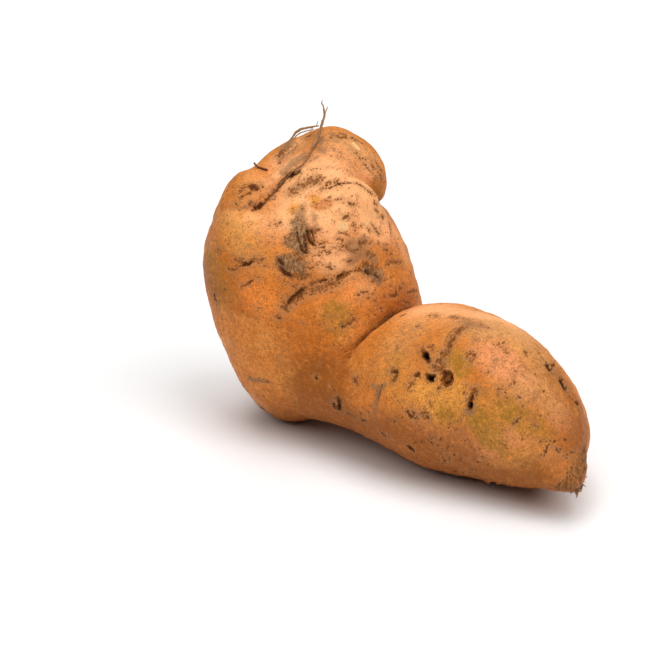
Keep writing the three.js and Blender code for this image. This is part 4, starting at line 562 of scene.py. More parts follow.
    ('olive', 5, 1.1, [(68.9, -61.1, 45.4), (72.2, -62.5, 43.3)]),
    ('olive', 5, 0.7, [(78.4, -63.8, 40.6), (82.2, -64.5, 36.8)]),
    ('olive', 5, 0.35, [(60.6, -56.6, 49.2), (64.9, -58.7, 48.4)]),
    ('gold', 9, 0.3, [(63.1, -58.6, 47.2), (74, -63.5, 41.2)]),
    ('olive', 6, 0.5, [(67.1, -62.5, 29.5), (70.7, -63.8, 28.9)]),
    ('olive', 5, 0.5, [(28.1, -30.2, 54.2), (24.3, -31.7, 49)]),
    ('pink', 9, 0.8, [(61.2, -45.2, 63.2), (66.5, -49.4, 60.8)]),
    ('pink', 7, 0.6, [(69.7, -51.4, 59.1), (74.7, -54.6, 55.6)]),
    ('pink', 7, 0.6, [(89.7, -58.7, 42), (92.9, -59.3, 35.8)]),
    ('pink', 6, 0.5, [(82.6, -67.7, 27.8), (85.8, -69.2, 25.6)]),
    ('pink', 7, 0.45, [(24.2, 20.2, 94.4), (28.4, 21.1, 86.5)]),
    ('pink', 6, 0.4, [(65.1, -62, 34.6), (62.4, -60.5, 30.6)]),
    ('pink', 8, 0.35, [(81.6, -59.5, 47.6), (87.4, -58.7, 44.5)]),
    # partly painted shade: deeper red-brown low on the front of the tall lobe
    ('rust_and_shade', 11, 0.75, [(-21, -4.8, 67.7), (-13.8, -6.4, 62.8), (-5.9, -7.4, 56)]),
    ('rust_and_shade', 8, 0.8, [(-11.4, -5.3, 79.1), (-7.1, -5.2, 76.6)]),
    ('rust_and_shade', 7, 0.7, [(24.8, 4.2, 66.6), (34.6, 15.4, 64)]),
    ('rust_and_shade', 6, 0.45, [(19.9, 8.7, 88.3), (27, 15.3, 83.2)]),
    ('rust_and_shade', 6, 0.5, [(-33.7, 2.2, 80.8), (-28.9, -1.8, 72.9)]),
    ('rust_and_shade', 5, 0.5, [(11.4, 3.8, 95.2), (7.9, 0.7, 92.8)]),
    # partly painted shade: deeper red-brown at the base, where the lobes meet near the ground
    ('rust_and_shade', 11, 0.8, [(-1.2, -8.6, 43.2), (2, -13.7, 32.9), (7.9, -17.8, 28.2)]),
    ('rust_and_shade', 6, 0.6, [(56.8, -51.3, 55.1), (54.3, -48.8, 56.5)]),
    ('rust_and_shade', 6, 0.5, [(30.6, -40.8, 38.6), (38, -45.7, 35.7)]),
    ('rust_and_shade', 7, 0.5, [(85.2, -67.6, 28.1), (81.5, -68.5, 25.3)]),
    ('rust_and_shade', 5, 0.3, [(18.9, 23.8, 109.6), (22.7, 27.5, 104.8)]),
    ('painted_shade', 5, 0.45, [(18.5, 23.8, 109.2), (21.4, 26.3, 105.2)]),
    ('rust_and_shade', 5, 0.4, [(20.6, 25, 108), (22.7, 28.3, 103.4)]),
    ('painted_shade', 10, 1, [(30.2, -30.4, 14.7), (44.8, -36.2, 10.5), (59.6, -45.8, 11.5), (77, -61.7, 16.4)]),
    ('painted_shade', 9, 0.75, [(79.7, -68.2, 23.5), (88.7, -69.7, 25), (96.4, -56.9, 31.5)]),
    ('rust_and_shade', 9, 0.8, [(87.3, -60.5, 42), (93.3, -59.6, 34.3)]),
    ('painted_shade', 8, 0.3, [(92.3, -56, 42.1), (94.6, -57.9, 34.8)]),
    ('painted_shade', 14, 1.7, [(-2.8, -9.8, 34.3), (2.8, -11.5, 25.5), (10, -11.5, 18.6), (23.7, -25.6, 16.9)]),
    ('painted_shade', 6, 0.45, [(19.9, -1.2, 60), (28.1, 6.4, 63.3), (35.4, 16.2, 62.4)]),
    ('dirt', 4, 0.8, [(-17.8, 32.6, 119.8), (-15.4, 34, 121.5), (-13, 35.1, 123.3)]),
    ('dirt', 3.4, 0.9, [(-16.6, 30.8, 119), (-18.2, 29.8, 117.6)]),
    ('dirt', 5, 0.55, [(2, 19, 124.5), (7.1, 17.6, 121.6), (10.7, 17.7, 118.3)]),
    ('dirt', 4.5, 0.6, [(-11.5, 19.6, 121.1), (-7.6, 21.7, 123)]),
    ('scar', 1.8, 0.8, [(-17.8, 31.3, 118.9), (-16.6, 33, 120.5), (-14.6, 34, 121.9)]),
    ('scar', 1.5, 0.7, [(-15, 30.9, 119.8), (-12.9, 31, 121), (-11.3, 31.5, 122.6)]),
    ('painted_shade', 7, 0.3, [(61.4, -55.5, 52), (75.9, -61.4, 46.4)]),
    ('painted_shade', 9, 0.45, [(78.5, -50.3, 57.9), (84, -53, 53)]),
    ('painted_shade', 10, 0.9, [(28.9, -39, 27.8), (40.1, -45.9, 26.7), (52.9, -53.7, 26)]),
    ('painted_shade', 9, 0.8, [(-48.9, 21.1, 73.7), (-45, 13.2, 66.1)]),
    ('rust_and_shade', 8, 0.6, [(-41.2, 8, 78), (-38.8, 5, 70.6)]),
    ('painted_shade', 7, 0.75, [(88.7, -44.6, 53.6), (94.2, -48.8, 45.2), (98.7, -49.6, 35.3)]),
    ('dots', 16, 1, [(9.9, 2.4, 94.4), (18.7, 6.9, 86.8), (28.2, 13.8, 78.2)]),
    ('dots', 12, 0.9, [(25.2, 5.9, 70.3), (34.6, 15.6, 64.4)]),
    ('dots', 10, 0.8, [(2, 4.4, 106.1), (13.9, 8.8, 102.7)]),
    ('dots', 8, 0.7, [(-1.2, -3, 89.9), (-3.9, -4.3, 85.4)]),
    ('dots', 12, 0.45, [(65.4, -48.7, 61.3), (72.4, -56.1, 54.2), (79.6, -62.7, 42.9)]),
    ('dots', 10, 0.5, [(40.1, -46.2, 27.6), (49.4, -50.3, 23.2)]),
    ('dots', 6, 0.8, [(20.1, 26.4, 116.4), (23.5, 28.5, 108.8)]),
    ('dots', 10, 0.35, [(13.9, -5.1, 57.3), (7.9, -8, 49.8)]),
    # painted shade: deeper, more saturated orange low on the front of the tall lobe
    ('ember_highlight_and_shade', 9, 0.42, [(-15.3, -4, 83.6), (-9, -5, 81.5), (-5.1, -5.3, 74.9)]),
    ('ember_highlight_and_shade', 8, 0.4, [(-22.6, -4.4, 67.1), (-16.2, -5.8, 66.8)]),
    ('ember_highlight_and_shade', 8, 0.42, [(10.6, -21.2, 35.5), (16, -27.5, 30.5), (22.9, -34, 29.1), (29.7, -38.6, 25.1)]),
    ('painted_shade', 8, 0.3, [(78.8, -63.9, 40.2), (87.2, -62.5, 38), (93.7, -59.6, 33.5)]),
    ('rust_and_shade', 2, 0.5, [(-5.1, 6.8, 109.1), (-3.9, 6.2, 108.6)]),
    ('rust_and_shade', 2, 0.5, [(-4.9, 5.4, 107.2), (-3.5, 4.8, 106.6)]),
    ('rust_and_shade', 1.6, 0.5, [(-3.9, 3.9, 105.2), (-2.7, 3.5, 104.7), (1.6, 3.9, 105.4)]),
    ('rust_and_shade', 1.7, 0.55, [(-0.4, 5.2, 107.7), (2.8, 5.2, 107.4)]),
    ('rust_and_shade', 2.2, 0.6, [(-41.3, 18, 101.3), (-37, 13.2, 102.5), (-33.8, 11.3, 102.4)]),
    ('ember_highlight_and_shade', 7, 0.25, [(-22.5, 4.6, 96.6), (-17.7, -0.2, 92.3)]),
]


def rot(ax, ay, az):
    ax, ay, az = np.radians([ax, ay, az])
    X = np.array([[1, 0, 0], [0, math.cos(ax), -math.sin(ax)], [0, math.sin(ax), math.cos(ax)]])
    Y = np.array([[math.cos(ay), 0, math.sin(ay)], [0, 1, 0], [-math.sin(ay), 0, math.cos(ay)]])
    Z = np.array([[math.cos(az), -math.sin(az), 0], [math.sin(az), math.cos(az), 0], [0, 0, 1]])
    return Z @ Y @ X


_M = {k: (np.array(c, float), np.array(r, float), rot(*a)) for k, (c, r, a) in MASS.items()}


def ell(p, k):
    c, r, m = _M[k]
    q = (p - c) @ m
    k0 = np.sqrt(((q / r) ** 2).sum(-1))
    k1 = np.sqrt(((q / (r * r)) ** 2).sum(-1))
    return k0 * (k0 - 1) / np.maximum(k1, 1e-9)


def smin(a, b, k):
    h = np.maximum(k - np.abs(a - b), 0) / k
    return np.minimum(a, b) - h * h * k * 0.25


def sstep(x, a, b):
    t = np.clip((x - a) / (b - a), 0, 1)
    return t * t * (3 - 2 * t)


def near_line(p, line, reach):
    """distance to a polyline and the interpolated 4th column, for points within reach; inf elsewhere"""
    L = np.array(line, float)
    P, A = L[:, :3], (L[:, 3] if L.shape[1] > 3 else np.ones(len(L)))
    d = np.full(len(p), np.inf)
    v = np.zeros(len(p))
    m = ((p > P.min(0) - reach) & (p < P.max(0) + reach)).all(-1)
    if not m.any():
        return d, v
    q = p[m]
    best, bv = np.full(len(q), np.inf), np.zeros(len(q))
    for i in range(len(P) - 1):
        a, ab = P[i], P[i + 1] - P[i]
        t = np.clip(((q - a) @ ab) / max(ab @ ab, 1e-9), 0, 1)
        dd = np.linalg.norm(q - a - t[:, None] * ab, axis=-1)
        k = dd < best
        best, bv = np.where(k, dd, best), np.where(k, A[i] + (A[i + 1] - A[i]) * t, bv)
    d[m], v[m] = best, bv
    return d, v


def swell(p, lumps):
    out = np.zeros(len(p))
    for c, a, r in lumps:
        d2 = ((p - np.array(c, float)) ** 2).sum(-1)
        out += a * np.exp(-d2 / r ** 2)
    return out


def lobes(p):
    """the tall lobe, the knob, both together, and the side lobe, each as its own field"""
    x = p[:, 0]
    e = lambda k: ell(p, k)
    tall = smin(e('body_upper'), e('body_middle'), 18)
    tall = smin(tall, e('body_base'), 20)
    tall = smin(tall, e('body_shoulder'), 14)
    tall = smin(tall, e('bridge'), 16)
    tall = smin(tall, e('left_shoulder'), 9) + swell(p, SHOULDER_SWELL)
    knob = smin(e('knob_core'), e('knob_right'), 10)
    knob = smin(knob, e('crown_ridge'), 14) + swell(p, KNOB_SWELL)
    upper = smin(tall, knob, 16 - 12.5 * sstep(x, 2, 20))
    side = smin(e('side_root'), e('side_belly'), 20)
    side = smin(side, e('side_tip'), 18)
    side = smin(side, e('tail_end'), 9) + swell(p, SIDE_SWELL)
    return tall, knob, upper, side


def body(p):
    """signed distance-like field of the root, negative inside; p is (N, 3) in mm"""
    x, z = p[:, 0], p[:, 2]
    tall, knob, upper, side = lobes(p)
    f = smin(upper, side, 3 + 27 * sstep(z, 48, 30))
    # narrow clefts where two masses meet
    f = f + 2.8 * np.exp(-((upper - side) / 2.0) ** 2) * sstep(z, 37, 51)
    f = f + 2.2 * np.exp(-((tall - knob) / 1.8) ** 2) * sstep(x, 3, 16)
    for g in GROOVES:
        d, a = near_line(p, g['line'], 3 * g['width'])
        k = np.isfinite(d)
        f[k] += a[k] * np.exp(-(d[k] / g['width']) ** 2)
    for b in PITS:
        d2 = ((p - np.array(b['at'])) ** 2).sum(-1)
        f += b['depth'] * np.exp(-d2 / b['radius'] ** 2)
    # flat against the ground, with a soft edge
    g = FLOOR - p[:, 2]
    return -smin(-f, -g, 1.6)


def gradient(p, e=0.3):
    g = np.empty_like(p)
    for i in range(3):
        q = np.zeros(3)
        q[i] = e
        g[:, i] = (body(p + q) - body(p - q)) / (2 * e)
    return g


def settle(p, lift=0.0, steps=8):
    """nearest place on the skin, lifted off it"""
    p = np.atleast_2d(np.array(p, float))
    for _ in range(steps):
        g = gradient(p)
        n2 = np.maximum((g * g).sum(1), 0.2)
        p = p - 0.85 * ((body(p) - lift) / n2)[:, None] * g
    return p


def unit(v):
    return v / np.maximum(np.linalg.norm(v, axis=-1, keepdims=True), 1e-12)


# ------------------------------------------------------------------ seeded noise
def _hash(i, j, k, seed):
    h = (i.astype(np.uint32) * np.uint32(374761393) + j.astype(np.uint32) * np.uint32(668265263)
         + k.astype(np.uint32) * np.uint32(2246822519) + np.uint32((seed * 3266489917) & 0xFFFFFFFF))
    h = (h ^ (h >> np.uint32(13))) * np.uint32(1274126177)
    h = (h ^ (h >> np.uint32(16))) * np.uint32(2654435761)
    return h ^ (h >> np.uint32(15))


def noise(p, scale, seed=0):
    """smooth gradient noise, about -1..1, with the given size in mm"""
    q = p / scale + 1000.0
    i = np.floor(q).astype(np.int64)
    f = q - i
    u = f * f * f * (f * (f * 6 - 15) + 10)
    out = np.zeros(len(p))
    for dx in (0, 1):
        for dy in (0, 1):
            for dz in (0, 1):
                h = _hash(i[:, 0] + dx, i[:, 1] + dy, i[:, 2] + dz, seed)
                gx = (h & np.uint32(1023)).astype(float) / 511.5 - 1
                gy = ((h >> np.uint32(10)) & np.uint32(1023)).astype(float) / 511.5 - 1
                gz = ((h >> np.uint32(20)) & np.uint32(1023)).astype(float) / 511.5 - 1
                w = ((u[:, 0] if dx else 1 - u[:, 0]) * (u[:, 1] if dy else 1 - u[:, 1])
                     * (u[:, 2] if dz else 1 - u[:, 2]))
                out += w * (gx * (f[:, 0] - dx) + gy * (f[:, 1] - dy) + gz * (f[:, 2] - dz))
    return out * 1.3


# ------------------------------------------------------------------ field to fine mesh
def fine_mesh(lo, hi, h, coarse=5):
    """surface nets on a grid of size h, evaluated only near the skin; returns vertices and outward quads"""
    n = (np.ceil((hi - lo) / (h * coarse)).astype(int)) * coarse + 1
    c = (n - 1) // coarse + 1
    ax = [lo[i] + h * coarse * np.arange(c[i]) for i in range(3)]
    G = np.stack(np.meshgrid(*ax, indexing='ij'), -1).reshape(-1, 3)
    F = body(G).reshape(c)
    # blocks whose corners come near the skin
    reach = h * coarse * 1.9
    near = np.abs(F) < reach
    blk = np.zeros(c - 1, bool)
    for i in (0, 1):
        for j in (0, 1):
            for k in (0, 1):
                blk |= near[i:c[0] - 1 + i, j:c[1] - 1 + j, k:c[2] - 1 + k]
    f = np.empty(n, np.float32)
    big = np.where(F < 0, -9.0, 9.0).astype(np.float32)
    f[:] = np.repeat(np.repeat(np.repeat(big, coarse, 0), coarse, 1), coarse, 2)[:n[0], :n[1], :n[2]]
    B = np.argwhere(blk)
    o = np.stack(np.meshgrid(*[np.arange(coarse + 1)] * 3, indexing='ij'), -1).reshape(-1, 3)
    for s in range(0, len(B), 1500):
        I = (B[s:s + 1500, None, :] * coarse + o[None]).reshape(-1, 3)
        f[I[:, 0], I[:, 1], I[:, 2]] = body(lo + h * I)
    # at the bottom of a tight cleft a grid face can alternate in and out; close it, so no edge has four quads
    for _ in range(8):
        found = 0
        for a in range(3):
            g = np.moveaxis(f, a, 0)
            s = g < 0
            p, q, r, t = s[:, :-1, :-1], s[:, 1:, 1:], s[:, 1:, :-1], s[:, :-1, 1:]
            X, Y, Z = np.nonzero((p == q) & (r == t) & (p != r))
            found += len(X)
            for i in (0, 1):
                for j in (0, 1):
                    v = g[X, Y + i, Z + j]
                    g[X, Y + i, Z + j] = np.where(v >= 0, -0.05, v)
        if not found:
            break
    s = f < 0
    cnt = np.zeros(n - 1, np.int8)
    for i in (0, 1):
        for j in (0, 1):
            for k in (0, 1):
                cnt += s[i:n[0] - 1 + i, j:n[1] - 1 + j, k:n[2] - 1 + k]
    act = (cnt > 0) & (cnt < 8)
    A = np.argwhere(act)
    idx = -np.ones(act.shape, np.int64)
    idx[act] = np.arange(len(A))
    I, J, K = A.T
    P, W = np.zeros((len(A), 3)), np.zeros(len(A))
    for a in [(i, j, k) for i in (0, 1) for j in (0, 1) for k in (0, 1)]:
        for x in range(3):
            if a[x] == 0:
                b = list(a)
                b[x] = 1
                fa, fb = f[I + a[0], J + a[1], K + a[2]], f[I + b[0], J + b[1], K + b[2]]
                m = (fa < 0) != (fb < 0)
                t = np.where(m, fa / np.where(m, fa - fb, 1), 0)
                q = np.tile(np.array(a, float), (len(A), 1))
                q[:, x] += t
                P += q * m[:, None]
                W += m
    V = lo + h * (A + P / W[:, None])
    quads = []
    for x in range(3):
        o = [0, 0, 0]
        o[x] = 1
        r = [np.arange(1, n[d] - 1) if d != x else np.arange(0, n[x] - 1) for d in range(3)]
        sl0 = tuple(slice(r[d][0], r[d][-1] + 1) for d in range(3))
        sl1 = tuple(slice(r[d][0] + o[d], r[d][-1] + 1 + o[d]) for d in range(3))
        E = np.argwhere(s[sl0] != s[sl1]) + np.array([r[d][0] for d in range(3)])
        a = s[E[:, 0], E[:, 1], E[:, 2]]
        u, v = (x + 1) % 3, (x + 2) % 3
        du, dv = np.zeros(3, int), np.zeros(3, int)
        du[u], dv[v] = 1, 1
        at = lambda q: idx[q[:, 0], q[:, 1], q[:, 2]]
        Q = np.stack([at(E - du - dv), at(E - dv), at(E), at(E - du)], -1)
        Q[~a] = Q[~a][:, ::-1]
        quads.append(Q)
    return V, np.concatenate(quads)


# ------------------------------------------------------------------ the skin as a mesh
LO, HI = np.array([-62.0, -84.0, -1.0]), np.array([114.0, 86.0, 138.0])
CELL = 1.2
V, Q = fine_mesh(LO, HI, CELL)


def snap(P, n=3):
    for _ in range(n):
        g = gradient(P, 0.15)
        P = P - (np.clip(body(P), -0.5, 0.5) / np.maximum((g * g).sum(1), 0.25))[:, None] * g
    return P


V = snap(V)


def strokes(p, kinds, reach=1.0):
    """strokes of the given kinds: 1 on the line, falling to 0 at its width"""
    out = np.zeros(len(p))
    for kind, r, s, line in MARKS:
        if kind not in kinds:
            continue
        if len(line) == 1:
            line = line + line
        d, _ = near_line(p, line, r * reach)
        k = np.isfinite(d)
        out[k] = np.maximum(out[k], s * np.clip(1 - d[k] / (r * reach), 0, 1))
    return out


def tones(p, kind):
    """soft, wide patches of one tone"""
    out = np.zeros(len(p))
    for k, r, s, line in MARKS:
        if k != kind:
            continue
        if len(line) == 1:
            line = line + line
        d, _ = near_line(p, line, r * 2.6)
        m = np.isfinite(d)
        out[m] += s * np.exp(-(d[m] / r) ** 2)
    return np.clip(out, 0, 1.3)


# split the quads near the marks, and once more near the sharpest of them
faces = [list(map(int, q)) for q in Q]


def split(V, faces, hot):
    bm = bmesh.new()
    bv = [bm.verts.new(tuple(v)) for v in V]
    for q in faces:
        bm.faces.new([bv[i] for i in q])
    bm.verts.index_update()
    bm.faces.ensure_lookup_table()
    es = set()
    for f in bm.faces:
        if any(hot[v.index] for v in f.verts):
            es.update(f.edges)
    bmesh.ops.subdivide_edges(bm, edges=list(es), cuts=1, use_grid_fill=True)
    bmesh.ops.triangulate(bm, faces=[f for f in bm.faces if len(f.verts) > 4])
    bm.verts.index_update()
    P = np.array([v.co[:] for v in bm.verts])
    F = [[v.index for v in f.verts] for f in bm.faces]
    bm.free()
    return snap(P, 2), F


V, faces = split(V, faces, strokes(V, ('scar', 'crack', 'band', 'dark', 'hole', 'pit', 'ring', 'torn', 'pale', 'tail', 'wart'), 1.25) > 0.02)
V, faces = split(V, faces, strokes(V, ('dark', 'hole', 'pit', 'ring', 'torn'), 1.0) > 0.10)
N = unit(gradient(V, 0.25))


def sample(n, seed, facing=None):
    """n seeded places among the vertices"""
    rng = np.random.default_rng(seed)
    pool = np.arange(len(V)) if facing is None else np.nonzero(facing)[0]
    return V[rng.choice(pool, n, replace=False)], rng


# growth direction: the marks and lines run around each lobe, across it
side_w = sstep(V[:, 0] * 0.62 - V[:, 1] * 0.62 - (V[:, 2] - 40) * 0.5, 14, 40)
A1, A2 = unit(np.array([-0.36, -0.20, 1.0])), unit(np.array([0.80, -0.45, -0.38]))
AX = unit((1 - side_w)[:, None] * A1 + side_w[:, None] * (-A2))
t_along = (V @ A1) * (1 - side_w) + (-(V @ A2)) * side_w
B1 = unit(np.cross(AX, np.array([0.0, 0.3, 1.0]) + 0.9 * A2))
G = np.stack([t_along, (V * B1).sum(1), (V * np.cross(AX, B1)).sum(1)], 1)

# the far sides carry the same kinds of marks, at seeded places
BACK = ((N @ unit(np.array([0.0, -0.94, 0.34]))) < 0.02) | ((V[:, 0] < -2) & (V[:, 2] < 40))
MARKS = list(MARKS)
far = []
pts, rng = sample(150, 11, BACK & (V[:, 2] > 5))
for i, c in enumerate(pts):
    j = np.argmin(((V - c) ** 2).sum(1))
    across = unit(np.cross(AX[j], N[j]) + 0.35 * rng.normal(size=3))
    L = rng.uniform(0.4, 1.0) if i % 3 else rng.uniform(1.2, 3.6)
    far.append((str(rng.choice(['scar', 'scar', 'scar', 'crack', 'dark'])), float(rng.uniform(1.3, 2.1)),
                float(rng.uniform(0.6, 1.0)), [c + across * L * s for s in (-1, -0.3, 0.4, 1)]))
pts, rng = sample(30, 12, BACK & (V[:, 2] > 8))
for i, c in enumerate(pts):
    j = np.argmin(((V - c) ** 2).sum(1))
    across = unit(np.cross(AX[j], N[j]) + 0.2 * rng.normal(size=3))
    L = rng.uniform(4, 11)
    kind = ['band', 'dirt', 'scar', 'crack', 'dirt', 'torn'][i % 6]
    r = dict(band=3.0, dirt=4.4, torn=2.2, crack=1.3, scar=1.7)[kind] * rng.uniform(0.8, 1.15)
    far.append((kind, float(r), float(rng.uniform(0.55, 0.85)), [c + across * L * s for s in (-1, -0.6, -0.2, 0.2, 0.6, 1)]))
laid = settle(np.concatenate([np.array(q[3]) for q in far]), 0, 5)
i = 0
for kind, r, s, line in far:
    MARKS.append((kind, r, s, [tuple(q) for q in laid[i:i + len(line)]]))
    i += len(line)
pts, rng = sample(64, 13, BACK)
for i, c in enumerate(pts):
    kind = ['peach_and_highlight', 'dots', 'rust_and_shade', 'pink', 'tan', 'dirt', 'gold', 'dots', 'peach_and_highlight', 'tan', 'olive'][i % 11]
    if kind == 'dirt':
        MARKS.append((kind, float(rng.uniform(4, 7)), float(rng.uniform(0.4, 0.7)), [tuple(c)]))
    else:
        MARKS.append((kind, float(rng.uniform(7, 12)), float(rng.uniform(0.5, 0.9)), [tuple(c)]))
MARKS.append(('hole', 1.9, 1.0, [tuple(settle([52.0, 24.0, 40.0])[0])]))
MARKS.append(('hole', 1.6, 1.0, [tuple(settle([-22.0, 66.0, 52.0])[0])]))

scar = strokes(V, ('scar',))
aura = strokes(V, ('scar', 'dark', 'torn', 'crack', 'band'), 1.9)
dark = strokes(V, ('dark',))
torn = strokes(V, ('torn',))
crack = strokes(V, ('crack', 'ring'))
band = strokes(V, ('band',))
hole = strokes(V, ('hole',))
pit = strokes(V, ('pit',))
pale = strokes(V, ('pale',))
dirt = strokes(V, ('dirt',))
tail = strokes(V, ('tail',))
wart = strokes(V, ('wart',))
tone = {k: tones(V, k) for k in ('ember_highlight_and_shade', 'peach_and_highlight', 'gold', 'tan', 'olive', 'pink', 'rust_and_shade', 'painted_shade', 'dots')}
# painted shade: downward-facing skin low on the body is darkened, under the lobes
tone['painted_shade'] += 0.95 * sstep(-N[:, 2], 0.15, 0.80) * sstep(V[:, 2], 46, 12)


_tall, _knob, _upper, _side = lobes(V)
dr, ar = near_line(V, [q for q in GROOVES if q['name'] == 'root_fold'][0]['line'], 9)
# painted shade in the creases: where the lobes meet, where the knob meets the tall lobe, and along the long
# rootlet's groove
fold = np.maximum.reduce([
    np.exp(-((_upper - _side) / 2.6) ** 2) * sstep(V[:, 2], 40, 54),
    np.exp(-((_tall - _knob) / 1.6) ** 2) * sstep(V[:, 0], 2, 14) * (0.9 - 0.35 * sstep(V[:, 1], -6, 14)),
    np.where(np.isfinite(dr), np.exp(-(np.where(np.isfinite(dr), dr, 0) / 0.9) ** 2) * np.clip(ar / 2, 0, 1), 0) * 0.62])

# ------------------------------------------------------------------ relief
n9, n4, n2 = noise(V, 9.5, 1), noise(V, 4.2, 2), noise(V, 2.1, 3)
ring = noise(G * np.array([1 / 1.5, 1 / 8.0, 1 / 8.0]), 1.0, 4) * (0.4 + 0.6 * np.clip(noise(V, 14, 5) + 0.5, 0, 1))
ring2 = noise(G * np.array([1 / 4.5, 1 / 18.0, 1 / 18.0]), 1.0, 6)
h = 0.50 * n9 + 0.22 * n4 + 0.10 * n2 + 0.15 * ring + 0.26 * ring2
rag = noise(V, 1.7, 7)
sc = sstep(scar + 0.16 * rag, 0.30, 0.55)
tr = sstep(torn + 0.2 * rag, 0.2, 0.5)
dk = sstep(dark + 0.12 * rag, 0.35, 0.6)
h += -0.16 * sc + 0.07 * sstep(aura, 0.2, 0.5) * (1 - sc)
h += tr * (0.30 * noise(V * np.array([1.0, 1.0, 0.35]), 1.3, 8) - 0.12)
h += -0.70 * dk + 0.12 * sstep(dark, 0.02, 0.28) * (1 - dk)
h += -0.30 * sstep(crack, 0.35, 0.75)
h += -0.25 * sstep(band, 0.25, 0.6) * (0.6 + 0.8 * noise(G * np.array([1 / 1.1, 1 / 9.0, 1 / 9.0]), 1.0, 9))
h += -0.18 * sstep(dirt, 0.4, 0.9) * (0.5 + noise(V, 2.6, 10))
h += 0.35 * sstep(pale, 0.2, 0.6) * (0.4 + rag)
h += -2.6 * sstep(hole + 0.14 * rag, 0.34, 0.85) + 0.22 * sstep(hole, 0.0, 0.2) * (1 - sstep(hole, 0.2, 0.35))
h += -0.95 * sstep(pit + 0.12 * rag, 0.22, 0.55) + 0.3 * sstep(pit, 0.02, 0.2) * (1 - sstep(pit, 0.2, 0.4)) \
    + 0.3 * sstep(pit, 0.4, 0.7) * rag
ribs = noise(V * np.array([1.0, 1.0, 0.22]), 1.5, 12)
h += tail * (0.9 * ribs + 0.25 * rag)
h += 1.15 * sstep(wart + 0.15 * rag, 0.15, 0.8)
low = sstep(V[:, 2], FLOOR + 2.5, FLOOR + 0.2)
h = h * (1 - low * (N[:, 2] < -0.5)) - 0.0
W = V + N * h[:, None]
W[:, 2] = np.maximum(W[:, 2], FLOOR)

me = bpy.data.meshes.new("tuber_skin")
me.from_pydata(row(W).tolist(), [], faces)
me.update()
me.polygons.foreach_set("use_smooth", [True] * len(me.polygons))
tuber = bpy.data.objects.new("tuber_skin", me)
bpy.context.scene.collection.objects.link(tuber)
print("tuber verts", len(V), "tris", sum(len(f) - 2 for f in faces))


def put(name, a):
    at = me.attributes.new(name, 'FLOAT', 'POINT')
    at.data.foreach_set('value', np.asarray(a, np.float32))


for n_, a_ in dict(scar=scar, aura=aura, dark=dark, torn=torn, crack=crack, band=band, hole=hole, pit=pit, pale=pale, wart=wart,
                   dirt=dirt, tail=tail, fold=fold, **tone).items():
    put(n_, a_)
at = me.attributes.new('grain', 'FLOAT_VECTOR', 'POINT')
at.data.foreach_set('vector', G.astype(np.float32).ravel())
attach(tuber, "root")
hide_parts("tuber")


# ------------------------------------------------------------------ shader helpers
class Graph:
    def __init__(self, name):
        self.mat = bpy.data.materials.new(name)
        self.mat.use_nodes = True
        self.t = self.mat.node_tree
        self.bsdf = self.t.nodes["Principled BSDF"]
        self.co = self.t.nodes.new('ShaderNodeTexCoord').outputs['Object']
        self.mm = self.vec('MULTIPLY', self.co, (1000, 1000, 1000))

    def put(self, sock, v):
        if isinstance(v, bpy.types.NodeSocket):
            self.t.links.new(v, sock)
        elif isinstance(v, (tuple, list)) and len(v) == 3 and sock.type == 'RGBA':
            sock.default_value = (*v, 1)
        else:
            sock.default_value = v

    def vec(self, op, a, b):
        n = self.t.nodes.new('ShaderNodeVectorMath')
        n.operation = op
        self.put(n.inputs[0], a)
        self.put(n.inputs[1], b)
        return n.outputs[0]

    def m(self, op, a, b=0.0, clamp=False):
        n = self.t.nodes.new('ShaderNodeMath')
        n.operation = op
        n.use_clamp = clamp
        self.put(n.inputs[0], a)
        self.put(n.inputs[1], b)
        return n.outputs[0]

    def add(self, a, b):
        return self.m('ADD', a, b)

    def mul(self, a, b):
        return self.m('MULTIPLY', a, b)

    def fit(self, v, a, b, c=0.0, d=1.0, smooth=True):
        n = self.t.nodes.new('ShaderNodeMapRange')
        n.interpolation_type = 'SMOOTHSTEP' if smooth else 'LINEAR'
        self.put(n.inputs['Value'], v)
        for k, q in zip(('From Min', 'From Max', 'To Min', 'To Max'), (a, b, c, d)):
            self.put(n.inputs[k], q)
        return n.outputs[0]

    def attr(self, name, out='Fac'):
        n = self.t.nodes.new('ShaderNodeAttribute')
        n.attribute_name = name
        return n.outputs[out]

    def noise(self, size, detail=2.0, rough=0.55, vec=None, shift=(0, 0, 0), dist=0.0):
        n = self.t.nodes.new('ShaderNodeTexNoise')
        n.inputs['Scale'].default_value = 1.0 / size
        n.inputs['Detail'].default_value = detail
        n.inputs['Roughness'].default_value = rough
        n.inputs['Distortion'].default_value = dist
        v = self.mm if vec is None else vec
        if shift != (0, 0, 0):
            v = self.vec('ADD', v, shift)
        self.put(n.inputs['Vector'], v)
        return n.outputs['Fac']

    def voronoi(self, size, vec=None, rand=1.0, shift=(0, 0, 0)):
        n = self.t.nodes.new('ShaderNodeTexVoronoi')
        n.inputs['Scale'].default_value = 1.0 / size
        n.inputs['Randomness'].default_value = rand
        v = self.mm if vec is None else vec
        if shift != (0, 0, 0):
            v = self.vec('ADD', v, shift)
        self.put(n.inputs['Vector'], v)
        return n.outputs['Distance'], n.outputs['Color']

    def mix(self, f, a, b, mode='MIX'):
        n = self.t.nodes.new('ShaderNodeMix')
        n.data_type = 'RGBA'
        n.blend_type = mode
        self.put(n.inputs[0], f)
        self.put(n.inputs[6], a)
        self.put(n.inputs[7], b)
        return n.outputs[2]

    def channel(self, c, i):
        n = self.t.nodes.new('ShaderNodeSeparateColor')
        self.put(n.inputs[0], c)
        return n.outputs[i]

    def bump(self, height, dist, strength=1.0, normal=None):
        n = self.t.nodes.new('ShaderNodeBump')
        n.inputs['Distance'].default_value = dist
        n.inputs['Strength'].default_value = strength
        self.put(n.inputs['Height'], height)
        if normal is not None:
            self.put(n.inputs['Normal'], normal)
        return n.outputs[0]


